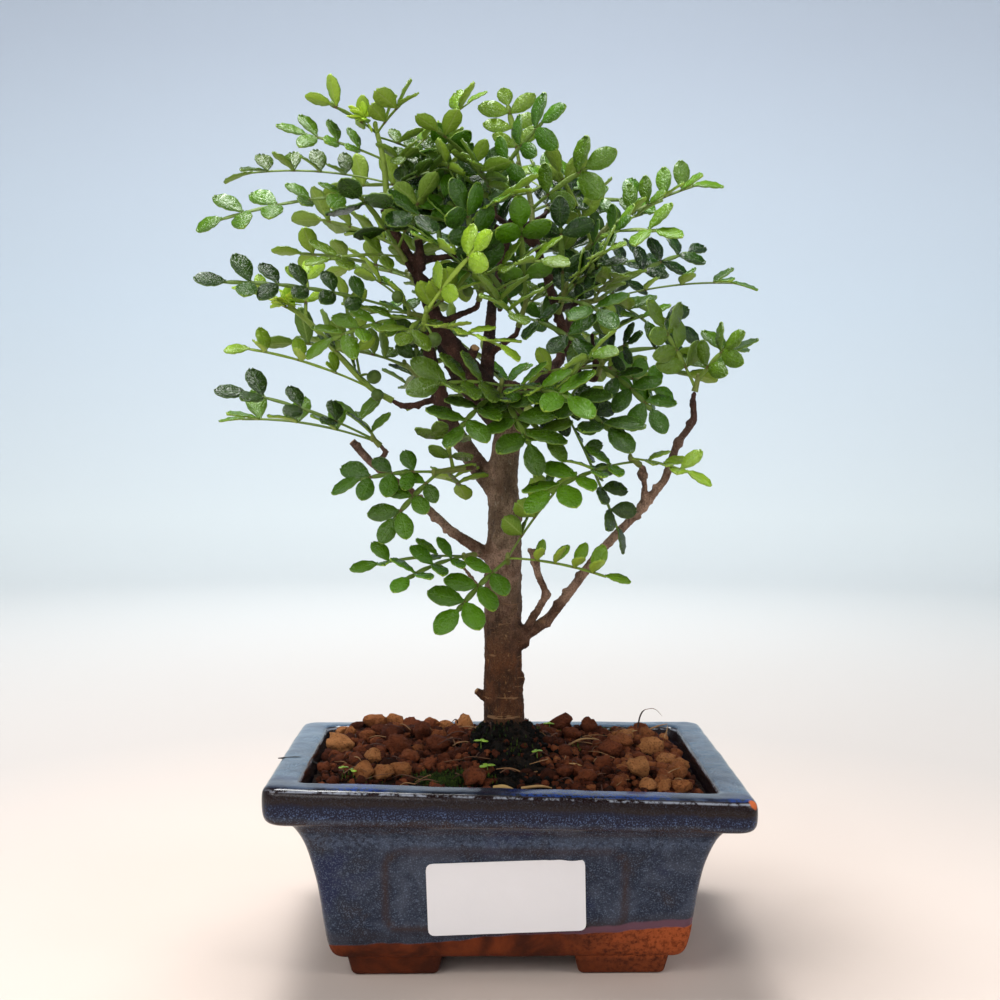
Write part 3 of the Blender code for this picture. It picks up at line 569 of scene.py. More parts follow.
# Soil
# Red and tan baked-clay granules fill the pot, heaped a little above the rim at the back. A mound of
# the older black soil stands round the trunk, where the tree was potted on. Damp dark earth shows
# between the granules, most of all in the front left corner.
SOIL_EDGE_Z = 47.9
SOIL_CROWN = 3.2
BACK_HEAP = 3.6
LEFT_HEAP = 3.2
MOUND_HEIGHT = 13.0
MOUND_RADIUS = 10.5
SOIL_HALF = (52.2, 37.5)
SOIL_FLOOR_HALF = (41.0, 26.3)
SOIL_CELLS = (120, 86)
GRANULE_PITCH = 3.5
GRANULE_SIZES = (1.8, 2.2, 2.6, 3.0, 3.4, 4.0, 4.8)
GRANULE_TONE = (0.37, 0.15)
# At the right end, beyond this, the granules are paler
PALE_BEYOND_X = 30
PALER = 0.28
SMALL_GRANULES = 1150
CRUMBS = 4200
# The share of their faces that the granules under 5 mm keep
SMALL_SHARE = 0.6
DARK_CORNER = (-40.0, -24.0)
MOSS_MIDDLE = (-16.5, -25.5)
# The granules that stand out, as place, size and tone (0 dark, 0.5 red, 1 tan)
NOTED_GRANULES = (
    (-47.6, 9.0, 7.6, 1.0), (-37.1, -8.0, 5.6, 0.95), (-38.5, -24.0, 6.4, 0.9), (-33.2, -25.0, 5.6, 0.92),
    (-28.4, -23.0, 5.4, 0.88), (-27.0, -8.0, 5.8, 0.62), (-8.9, -29.0, 6.8, 0.55), (-19.7, -31.0, 2.8, 0.6),
    (-48.5, 30.0, 4.6, 0.9), (-45.6, 24.0, 4.6, 0.85), (-39.0, 32.0, 7.0, 0.8), (-33.0, 33.5, 6.6, 0.85),
    (-22.4, 33.0, 5.4, 0.75), (-17.2, 32.5, 5.0, 0.9), (-11.6, 31.0, 6.2, 0.95), (-28.2, 32.0, 5.6, 0.5),
    (-24.0, 18.0, 6.6, 0.45), (-33.0, 15.0, 7.0, 0.35), (-19.0, 3.0, 6.8, 0.42), (-30.0, 2.0, 7.4, 0.5),
    (-40.0, 17.0, 5.0, 0.7), (-21.0, -14.0, 4.6, 0.6), (-14.5, 18.0, 6.0, 0.5),
    (35.2, -22.0, 7.2, 1.0), (42.1, 8.0, 7.0, 0.95), (34.4, 10.0, 7.4, 0.72), (46.0, -17.0, 6.6, 0.8),
    (44.8, -4.0, 5.6, 0.92), (48.6, -7.0, 5.0, 0.9), (45.0, -31.0, 5.2, 0.85), (36.4, -31.5, 4.8, 0.95),
    (40.4, -31.8, 4.4, 0.9), (42.4, 22.0, 5.4, 0.75), (41.6, -23.5, 5.0, 0.7), (30.0, 0.5, 7.2, 0.55),
    (26.0, 26.0, 6.2, 0.45), (17.0, 29.0, 6.8, 0.42), (20.0, 16.0, 5.6, 0.5), (26.0, -14.0, 5.2, 0.55),
    (21.0, -27.0, 5.4, 0.6), (29.0, -29.0, 5.0, 0.65), (15.0, -24.0, 4.6, 0.5), (48.2, 3.0, 4.6, 0.6),
)
SOIL_BLACK = (0.0065, 0.0060, 0.0052)
SOIL_BROWN = (0.024, 0.010, 0.0055)
SOIL_CRUMB = (0.055, 0.028, 0.016)
PORE = (0.022, 0.007, 0.003)
# Colour of baked clay by its tone
GRANULE_TONES = (
    (0.0, (0.012, 0.005, 0.003)), (0.35, (0.100, 0.024, 0.010)), (0.6, (0.240, 0.064, 0.024)),
    (0.85, (0.400, 0.140, 0.046)), (1.0, (0.540, 0.225, 0.080)),
)


def mound(x, y):
    reach = 1.45 if y < 0 else 1.0
    return math.exp(-((x - 0.5) / (MOUND_RADIUS * 1.05)) ** 2 - (y / (MOUND_RADIUS * reach)) ** 2)


def soil_height(x, y):
    """The ground between the granules."""
    bulge = SOIL_CROWN * (1 - (x / SOIL_HALF[0]) ** 4) * (1 - (y / SOIL_HALF[1]) ** 4)
    heap = BACK_HEAP * max(y / SOIL_HALF[1], 0) * (1 - (x / SOIL_HALF[0]) ** 6)
    left_side = LEFT_HEAP * max(-x / SOIL_HALF[0] - 0.4, 0)
    lumps = 0.9 * noise.noise(Vector((x, y, 3.0)) * 0.17)
    return SOIL_EDGE_Z + bulge + heap + left_side + lumps + MOUND_HEIGHT * mound(x, y)


def black_share(x, y):
    """How much of the ground is the old black soil: the mound, and what has run down in front of it."""
    fan = math.exp(-((x - 2.0) / (6.5 - 0.14 * y)) ** 4) * 0.42 if y < 0 else 0.0
    return max(mound(x, y), fan)


def smooth_all(mesh):
    mesh.polygons.foreach_set("use_smooth", [True] * len(mesh.polygons))


def mesh_object(name, points, faces, **values):
    """A new mesh object with named values at its vertices, for the finish to read."""
    mesh = bpy.data.meshes.new(name)
    mesh.from_pydata(points, [], faces)
    for value_name, numbers in values.items():
        add_values(mesh, value_name, numbers)
    smooth_all(mesh)
    made = bpy.data.objects.new(name, mesh)
    bpy.context.scene.collection.objects.link(made)
    return made


bpy.ops.mesh.primitive_grid_add(x_subdivisions=SOIL_CELLS[0], y_subdivisions=SOIL_CELLS[1], size=2)
bed = bpy.context.object
edit_all()
bpy.ops.transform.resize(value=(*SOIL_HALF, 1))
bpy.ops.object.mode_set(mode="OBJECT")
for vert in bed.data.vertices:
    x, y, _ = vert.co
    rough = 0.7 * noise.noise(Vector((x, y, 9.0)) * 0.7) + 0.5 * noise.noise(Vector((x, y, 5.0)) * 1.6)
    crumbly = 1.1 * noise.noise(Vector((x, y, 2.0)) * 0.45) * min(3 * mound(x, y), 1)
    vert.co.z = soil_height(x, y) + rough * (1 + 1.5 * mound(x, y)) + crumbly - 0.5
edit_all()
bpy.ops.mesh.region_to_loop()
bpy.ops.mesh.extrude_region_move(TRANSFORM_OT_translate={"value": (0, 0, FLOOR_Z - SOIL_EDGE_Z)})
bpy.ops.transform.resize(value=(*(low / high for low, high in zip(SOIL_FLOOR_HALF, SOIL_HALF)), 0))
bpy.ops.mesh.edge_face_add()
bpy.ops.mesh.select_all(action="SELECT")
bpy.ops.mesh.normals_make_consistent(inside=False)
bpy.ops.object.mode_set(mode="OBJECT")
for vert in bed.data.vertices:
    if vert.co.z < 30:
        vert.co.z = FLOOR_Z + 1.4
shade_by_angle(bed, 60)
add_values(bed.data, "black", [black_share(v.co.x, v.co.y) for v in bed.data.vertices])
earth = Finish("damp_earth")
crumbs = earth.clouds(900, 5, 0.7)
damp = earth.clouds(120, 3)
earth_colour = earth.mix((earth.painted("black") * 3 + damp.above(0.4, 0.6) * 0.5).clamped(),
                         SOIL_BROWN, SOIL_BLACK)
put_in_frame(bed, earth.surface(
    base_color=earth.mix(crumbs.above(0.35, 0.7) * 0.5, earth_colour, SOIL_CRUMB),
    roughness=damp * 0.2 + 0.65, normal=earth.bump(crumbs, 0.0014), specular_ior_level=0.15),
    "soil", "soil", "soil_bed")


def points_and_faces(mesh):
    return [v.co.copy() for v in mesh.vertices], [tuple(f.vertices) for f in mesh.polygons]


def shape_of(model):
    """The points and faces of a model that is copied from here on, and is itself removed."""
    shape = points_and_faces(model.data)
    bpy.data.objects.remove(model)
    return shape


def granule_shape(seed, subdivisions):
    """A crushed lump of unit size: an icosphere pushed about and chipped flat in places. A small
    one, of two subdivisions, then keeps only a share of its faces."""
    draw = random.Random(seed)
    bpy.ops.mesh.primitive_ico_sphere_add(subdivisions=subdivisions, radius=0.5)
    stone = bpy.context.object
    offset = Vector((seed * 3.1, seed * 1.7, 0))
    flats = [Vector([draw.gauss(0, 1) for _ in range(3)]).normalized() for _ in range(6)]
    for vert in stone.data.vertices:
        crags = 0.38 * noise.noise(vert.co * 2.6 + offset) + 0.34 * noise.noise(vert.co * 5.5 + offset)
        vert.co *= 1 + crags + 0.20 * noise.noise(vert.co * 12 + offset)
        for flat in flats:
            vert.co -= flat * max(vert.co.dot(flat) - 0.36, 0) * 0.85
    if subdivisions == 2:
        apply_modifier(stone, "DECIMATE", ratio=SMALL_SHARE)
    return shape_of(stone)


class Heap:
    """Copies of small shapes gathered into one mesh, with a tone for each."""

    def __init__(self):
        self.points = []
        self.faces = []
        self.tones = []

    def add(self, shape, matrix, tone):
        points, faces = shape
        first = len(self.points)
        self.points += [matrix @ p for p in points]
        self.faces += [tuple(first + i for i in face) for face in faces]
        self.tones += [tone] * len(points)

    def piece(self, name, material, node, slot):
        put_in_frame(mesh_object(name, self.points, self.faces, tone=self.tones), material, node, slot)


def any_turn():
    turns = [Matrix.Rotation(draw.uniform(0, 6.28), 4, axis) for axis in "XYZ"]
    return turns[0] @ turns[1] @ turns[2]


draw = random.Random(5)
small_shapes = [granule_shape(seed, 2) for seed in range(1, 9)]
large_shapes = [granule_shape(seed, 3) for seed in range(20, 26)]
heap = Heap()
taken = []


def lay_granule(shapes, x, y, size, tone, lift):
    squeeze = Matrix.Diagonal((size * draw.uniform(0.9, 1.15), size * draw.uniform(0.85, 1.05),
                               size * draw.uniform(0.68, 0.86), 1))
    centre = Vector((x, y, soil_height(x, y) + lift * size))
    lean = Matrix.Rotation(draw.gauss(0, 0.3), 4, "X") @ Matrix.Rotation(draw.uniform(0, 6.28), 4, "Z")
    place = Matrix.Translation(centre) @ lean @ squeeze @ any_turn()
    heap.add(draw.choice(shapes), place, tone)


def within(x, y, middle, reach_x, reach_y):
    """Whether a place is inside an oval."""
    return math.hypot((x - middle[0]) / reach_x, (y - middle[1]) / reach_y) < 1


def in_moss(x, y):
    return within(x, y, MOSS_MIDDLE, 9.5, 6.0)


for x, y, size, tone in NOTED_GRANULES:
    taken.append((x, y, size / 2))
    lay_granule(large_shapes, x, y, size, tone, 0.34)
rows = int(2 * SOIL_HALF[1] / GRANULE_PITCH) + 1
columns = int(2 * SOIL_HALF[0] / GRANULE_PITCH) + 1
for row in range(rows):
    for column in range(columns):
        x = (column + 0.5 * (row % 2) + draw.uniform(-0.35, 0.35)) * GRANULE_PITCH - SOIL_HALF[0]
        y = (row + draw.uniform(-0.35, 0.35)) * GRANULE_PITCH - SOIL_HALF[1]
        size = draw.choice(GRANULE_SIZES)
        tone = min(max(draw.gauss(*GRANULE_TONE), 0.06), 0.85)
        if x > PALE_BEYOND_X:
            tone = min(tone + PALER, 1.0)
        if abs(x) > SOIL_HALF[0] - size / 2 or abs(y) > SOIL_HALF[1] - size / 2:
            continue
        if (within(x, y, DARK_CORNER, 14, 12) and draw.random() < 0.8) or in_moss(x, y):
            continue
        if black_share(x, y) > 0.26 + draw.uniform(-0.10, 0.18):
            continue
        if any(math.hypot(x - tx, y - ty) < reach + size * 0.30 for tx, ty, reach in taken):
            continue
        lay_granule(small_shapes, x, y, size, tone, draw.uniform(0.10, 0.34))
for _ in range(SMALL_GRANULES):
    x, y = draw.uniform(-50, 50), draw.uniform(-35.5, 35.5)
    if black_share(x, y) < 0.35 and not in_moss(x, y) and not within(x, y, DARK_CORNER, 12, 9):
        lay_granule(small_shapes, x, y, draw.uniform(1.3, 2.7), draw.choice((0.2, 0.35, 0.45, 0.6)), 0.3)
granules = heap
heap = Heap()
crumb_shape = granule_shape(40, 1)
for _ in range(CRUMBS):
    x, y = draw.uniform(-50.5, 50.5), draw.uniform(-36, 36)
    dark = black_share(x, y) > 0.2
    tone = draw.uniform(-0.30, -0.12) if dark else draw.choice((-0.05, 0.1, 0.3, 0.4))
    size = draw.uniform(0.7, 2.2) if dark else draw.uniform(0.6, 1.6)
    if dark and draw.random() < 0.12:
        tone = 0.35
    if dark and math.hypot(x - 0.5, y) < 5.0:
        continue
    centre = Vector((x, y, soil_height(x, y) + draw.uniform(-0.3, 0.5)))
    heap.add(crumb_shape, Matrix.Translation(centre) @ any_turn() @ Matrix.Scale(size, 4), tone)

baked_clay = Finish("baked_clay")
tone = baked_clay.painted("tone")
pores = baked_clay.clouds(1500, 4, 0.7)
stain = baked_clay.clouds(330, 4, 0.6)
clay_tone = (tone + (stain - 0.5) * 0.35).clamped()
baked_clay_material = baked_clay.surface(
    base_color=baked_clay.layers(
        baked_clay.ramp(clay_tone, *GRANULE_TONES),
        (tone.above(-0.02, -0.10), SOIL_BLACK),
        (pores.above(0.50, 0.34) * 0.55, PORE)),
    roughness=stain * 0.2 + 0.75, normal=baked_clay.bump(pores * 0.75 + stain * 0.25, 0.0023),
    specular_ior_level=0.15)
granules.piece("granules", baked_clay_material, "soil", "soil")
heap.piece("crumbs", baked_clay_material, "soil", "soil")

# Moss and seedlings
# A cushion of dark moss by the front rim, moss round the foot of the trunk, and small weeds that came
# up by themselves. Each grows from the soil under it.

# Middle, reach to the sides and to the front and back, tufts, and shade from 0 dark to 1 bright
MOSS_PATCHES = (
    (*MOSS_MIDDLE, 9, 5.5, 1500, 0.38), (-6, -27, 4, 3, 60, 0.6), (-7.5, 3, 3.2, 6, 160, 0.05),
    (-2, -8, 7, 4, 60, 0.05), (6.5, 3, 4, 5, 70, 0.1), (-39, -24, 7, 5, 60, 0.6), (11, 26, 7, 5, 160, 0.8),
    (20, 6, 6, 4, 40, 0.7), (31, 32, 8, 4, 60, 0.5), (46, 26, 4, 6, 50, 0.3), (3, -14, 8, 6, 40, 0.5),
)
MOSS_BLADES = 4
# Place and size of each small weed
SEEDLINGS = ((-7.2, -12, 1.5), (-5.6, -24, 1.7), (-9.5, -25.5, 1.2), (8.0, -16, 1.2), (-41, -25, 1.3),
             (-44, -20, 1.0), (-3.5, 12, 1.2), (14, 28, 1.4))
moss = Heap()
blade = ([Vector(p) for p in ((-0.13, 0, 0), (0.13, 0, 0), (0.10, 0.10, 0.55), (-0.10, 0.10, 0.55),
                              (0, 0.32, 1.0), (0, 0.10, 0.5), (0, -0.08, 0))],
         [(0, 1, 2), (0, 2, 3), (3, 2, 4), (1, 6, 5), (1, 5, 2), (6, 0, 3), (6, 3, 5), (2, 5, 4), (5, 3, 4),
          (0, 6, 1)])
for x, y, reach_x, reach_y, count, shade in MOSS_PATCHES:
    for _ in range(count):
        bx, by = x + draw.gauss(0, 0.45) * reach_x, y + draw.gauss(0, 0.45) * reach_y
        if abs(bx) > SOIL_HALF[0] - 1.5 or abs(by) > SOIL_HALF[1] - 2 or math.hypot(bx, by) < 6.0:
            continue
        root = Vector((bx, by, soil_height(bx, by) - 0.1 + draw.uniform(0, 0.9)))
        tint = min(max(shade + draw.gauss(0, 0.18), 0), 1)
        for k in range(MOSS_BLADES):
            turn = Matrix.Rotation(2 * math.pi * k / MOSS_BLADES + draw.uniform(-0.5, 0.5), 4, "Z")
            tip = Matrix.Rotation(draw.uniform(0.0, 0.9), 4, "X")
            size = Matrix.Scale(draw.uniform(0.5, 1.05), 4)
            moss.add(blade, Matrix.Translation(root) @ turn @ tip @ size, tint)
moss_finish = Finish("moss")
moss_tint = moss_finish.painted("tone")
moss_clouds = moss_finish.clouds(500, 3)
moss_material = moss_finish.surface(
    base_color=moss_finish.mix((moss_tint * 0.8 + moss_clouds * 0.3).above(0.15, 0.95),
                               (0.006, 0.013, 0.006), (0.100, 0.170, 0.020)),
    roughness=moss_clouds * 0.2 + 0.6, specular_ior_level=0.15)
moss.piece("moss", moss_material, "soil", "soil")

bpy.ops.mesh.primitive_uv_sphere_add(segments=10, ring_count=6, radius=1)
pad = bpy.context.object
for vert in pad.data.vertices:
    x, y, z = vert.co
    notch = 0.25 * math.exp(-((x - 1) / 0.25) ** 2) * math.exp(-(y / 0.3) ** 2)
    vert.co = Vector(((x + 1) * 0.5 - notch, y * 0.44, z * 0.10 - 0.25 * (x * 0.5 + 0.5) ** 2))
seed_leaf = shape_of(pad)
stem_shape = ([Vector((0.08 * math.cos(a), 0.08 * math.sin(a), z)) for z in (0.0, 1.0)
               for a in (0.0, 2.09, 4.19)], [(0, 1, 4, 3), (1, 2, 5, 4), (2, 0, 3, 5), (2, 1, 0), (3, 4, 5)])
weeds = Heap()
for x, y, size in SEEDLINGS:
    root = Vector((x, y, soil_height(x, y) - 0.5))
    height = size * 1.6 + 0.8
    weeds.add(stem_shape, Matrix.Translation(root) @ Matrix.Diagonal((size, size, height, 1)), 0.4)
    first = draw.uniform(0, 3.14)
    for k, swing in enumerate((0.0, 3.14, 1.57, 4.71)):
        tilt = Matrix.Rotation(-0.25 - 0.25 * (k > 1), 4, "Y")
        turn = Matrix.Rotation(first + swing, 4, "Z")
        leaf = Matrix.Scale(size * (1.5 if k < 2 else 1.0), 4)
        weeds.add(seed_leaf, Matrix.Translation(root + Vector((0, 0, height))) @ turn @ tilt @ leaf,
                  draw.uniform(0.5, 1.0))
sprout_finish = Finish("seedling_green")
sprout_tint = sprout_finish.painted("tone")
weeds.piece("seedlings", sprout_finish.surface(
    base_color=sprout_finish.mix(sprout_tint, (0.09, 0.16, 0.03), (0.30, 0.50, 0.045)),
    roughness=sprout_finish.clouds(800) * 0.2 + 0.35), "soil", "soil")

# Litter
# Dead roots, twigs and leaf stalks caught among the granules, and one dark root lying out over the
# left rim.

# Tone and radius of each bit, and the points that it runs through
LITTER = (
    (0.0, 0.35, (-52, -8, 51.0), (-56, -9, 53.0), (-60.5, -9.5, 53.2), (-63.0, -8, 52.8)),
    (0.15, 0.26, (41.0, 31, 51), (41.6, 32, 55.2), (42.6, 32.6, 57.6), (43.6, 33, 58.4)),
    (0.6, 0.1, (43.6, 33, 58.4), (46.4, 33.5, 58.5), (49, 34, 56.2)),
    (0.55, 0.16, (-17, 6, 51), (-15.5, 4, 56), (-14.5, 1, 55), (-14, -3, 51)),
    (0.35, 0.18, (-14, 0, 54), (-9, -3, 53), (-4, -6, 54.5)),
    (0.4, 0.16, (-20, 10, 52), (-14, 12, 56), (-9, 9, 55)),
    (0.9, 0.2, (36, 18, 53), (38, 18.6, 54.6), (39.5, 19, 54.8)),
    (0.8, 0.28, (42, 27, 52.4), (46, 28, 54), (50, 30, 54.6)),
    (0.85, 0.2, (47, 22, 50), (48.6, 23, 53), (49.4, 25, 55)),
    (0.95, 0.3, (14, -13, 51.5), (18, -15, 52.6), (21, -15, 51.8)),
    (1.0, 0.6, (-4, -31.5, 50.2), (-1.5, -33, 50.8), (2.0, -33, 49.6)),
    (0.9, 0.4, (3, -33, 50.4), (8, -33.4, 51.0), (11, -32, 50.2)),
    (0.8, 0.22, (8, -2, 54), (12, 0, 55.5), (14, 2, 54)),
    (0.85, 0.3, (18, 7, 53), (22, 6, 55), (27, 8, 54.5)),
    (0.5, 0.2, (-26, -30, 50), (-22, -28, 51.5), (-18, -29, 51)),
)
LOOSE_ROOTS = 90


def swept(points, radii, sides=8, bend_type="AUTO", steps=8):
    """A round bar along smooth bends through the points, as (vertices, faces)."""
    curve = bpy.data.curves.new("bar", "CURVE")
    curve.dimensions = "3D"
    curve.resolution_u = steps
    curve.bevel_depth = 1
    curve.bevel_resolution = (sides - 4) // 2
    curve.use_fill_caps = True
    spline = curve.splines.new("BEZIER")
    spline.bezier_points.add(len(points) - 1)
    for knot, point, radius in zip(spline.bezier_points, points, radii):
        knot.co = point
        knot.radius = radius
        knot.handle_left_type = knot.handle_right_type = bend_type
    bar = bpy.data.objects.new("bar", curve)
    bpy.context.scene.collection.objects.link(bar)
    mesh = bar.to_mesh()
    made = points_and_faces(mesh)
    bar.to_mesh_clear()
    bpy.data.objects.remove(bar)
    return made


litter = Heap()
for tone, radius, *points in LITTER:
    litter.add(swept(points, [radius] * (len(points) - 1) + [radius * 0.4], 6, steps=5),
               Matrix.Identity(4), tone)
for _ in range(LOOSE_ROOTS):
    x, y = draw.uniform(-48, 48), draw.uniform(-34, 34)
    if math.hypot(x, y) < 8:
        continue
    start = Vector((x, y, soil_height(x, y) + draw.uniform(0.4, 2.0)))
    heading = draw.uniform(0, 6.28)
    length = draw.uniform(3, 9)
    ahead = Vector((math.cos(heading), math.sin(heading), draw.uniform(-0.1, 0.25))) * length
    bow = Vector((draw.gauss(0, 0.8), draw.gauss(0, 0.8), draw.uniform(0.2, 1.2)))
    radius = draw.uniform(0.09, 0.2)
    end = start + ahead
    if abs(end.x) > 50 or abs(end.y) > 36:
        continue
    bar = swept((start, start.lerp(end, 0.5) + bow, end), (radius, radius, radius * 0.5), 4, steps=4)
    litter.add(bar, Matrix.Identity(4), draw.choice((0.3, 0.5, 0.8)))
dry = Finish("dry_litter")
dry_tone = dry.painted("tone")
dry_grain = dry.clouds(900, 3)
dry_material = dry.surface(
    base_color=dry.ramp((dry_tone + (dry_grain - 0.5) * 0.2).clamped(), (0.0, (0.008, 0.007, 0.006)),
                        (0.4, (0.090, 0.032, 0.018)), (0.8, (0.30, 0.15, 0.06)), (1.0, (0.52, 0.33, 0.12))),
    roughness=dry_grain * 0.2 + 0.65)
litter.piece("litter", dry_material, "soil", "soil")

# Tree
# One living stem, potted on once: a straight trunk with rough grey-brown bark, rusty at its foot, and
# leaders and side branches of thinner, redder bark. Pruning has left short stubs with pale cut ends.
# The branches part from the trunk, and from each other, at swollen collars.
GAP = 0.3
HOLE_Z = 33.0
UP = Vector((0, 0, 1))

# Points on each branch's middle line, with its radius there
BRANCHES = {
    "trunk": (
        (0, 0, HOLE_Z + GAP, 5.2), (-0.3, 0, 46, 5.7), (-0.5, 0, 60, 5.8), (-0.9, 0, 80, 5.4),
        (-0.9, 0, 106, 5.2), (-0.6, 0, 118, 4.7), (-1.1, 0.5, 130, 4.2), (0.6, 0, 147, 3.8),
        (0.4, -0.5, 152.5, 4.4), (1, 0, 157, 2.6),
    ),
    "right_lower": (
        (2, 0, 84, 2.4), (11.6, -1, 90.2, 1.8), (18.4, -2, 99.2, 1.6), (25.8, -3, 109.4, 1.5),
        (37.8, -6, 122.5, 1.4), (43.1, -8, 129.6, 1.35), (46.6, -9, 140, 1.25), (50.9, -10, 146, 1.2),
        (50.6, -10, 151.6, 1.05),
    ),
    "right_side_twig": ((37.3, -6, 122, 1.0), (37.8, -8, 128, 1.0), (37, -9, 131.4, 0.9)),
    "front_stub": (
        (4, -1, 85, 1.6), (6.8, -5, 90.5, 1.4), (11, -7, 98, 1.3), (8.3, -8, 104, 1.2),
        (7.4, -8, 109.5, 1.6),
    ),
    "left_lower": (
        (-3, 0, 107, 2.2), (-14.9, -3, 114.8, 1.5), (-26.8, -6, 126, 1.4), (-37.5, -8, 134.4, 1.3),
        (-42.6, -9, 140.2, 1.3),
    ),
    "left_thin_twig": ((-3, -2, 95, 0.8), (-8, -5, 100, 0.7), (-13.2, -7, 107, 0.6)),
    "leader_a": (
        (-3, 0, 127, 3.2), (-9, 1, 134.5, 2.8), (-16.9, 2, 146.4, 2.4), (-20.8, 1, 159.6, 2.1),
        (-22.6, -1, 170, 1.8),
    ),
    "leader_b": (
        (0, 0, 150, 3.4), (-7, -1, 156.5, 3.0), (-18.3, -3, 170.4, 2.4), (-25.9, -5, 188.1, 1.8),
        (-32.4, -8, 199.8, 1.4), (-32.8, -8, 202.6, 1.2),
    ),
    "stub_b": ((-23.6, -4.6, 187, 1.4), (-24.6, -6, 195.5, 1.4)),
    "stub_front": ((-11, -2, 161, 1.6), (-9, -8, 166, 1.5)),
    "knob_twig": ((-20, 1.5, 152, 1.2), (-28.5, 1, 149.6, 0.9)),
    "trunk_stub": ((-3, 0, 66, 1.8), (-8.6, -1.5, 70.5, 1.2)),
    "leader_right": (
        (1, 0, 152, 3.0), (14, 1, 154.5, 2.2), (19.3, 1, 159, 1.9), (16.6, 2, 168.9, 1.7),
        (12.4, 1, 181.6, 1.5), (7.4, 0, 197.6, 1.1),
    ),
    "stem_c": ((19, 1, 158, 1.2), (25, 2, 158, 1.0), (24, 4, 170.9, 0.8)),
    "back_left": ((-2, 1, 144, 2.4), (-14, 18, 158, 1.8), (-24, 33, 178, 1.3)),
    "back_right": ((2, 1, 150, 2.4), (16, 20, 164, 1.8), (22, 36, 186, 1.2)),
    "back_top": ((-6, 0, 156, 2.2), (-4, 16, 180, 1.7), (2, 24, 206, 1.2)),
}
TRUNK_SIDES = 10
BRANCH_SIDES = 5
TWIG_RADII = (1.0, 0.9, 0.75)
TWIG_DRAWN_RADII = (1.15, 0.85, 0.7)
TWIG_END = 2.6
TWIG_LAST_ROOT = 0.8
TWIG_SIDES = 4
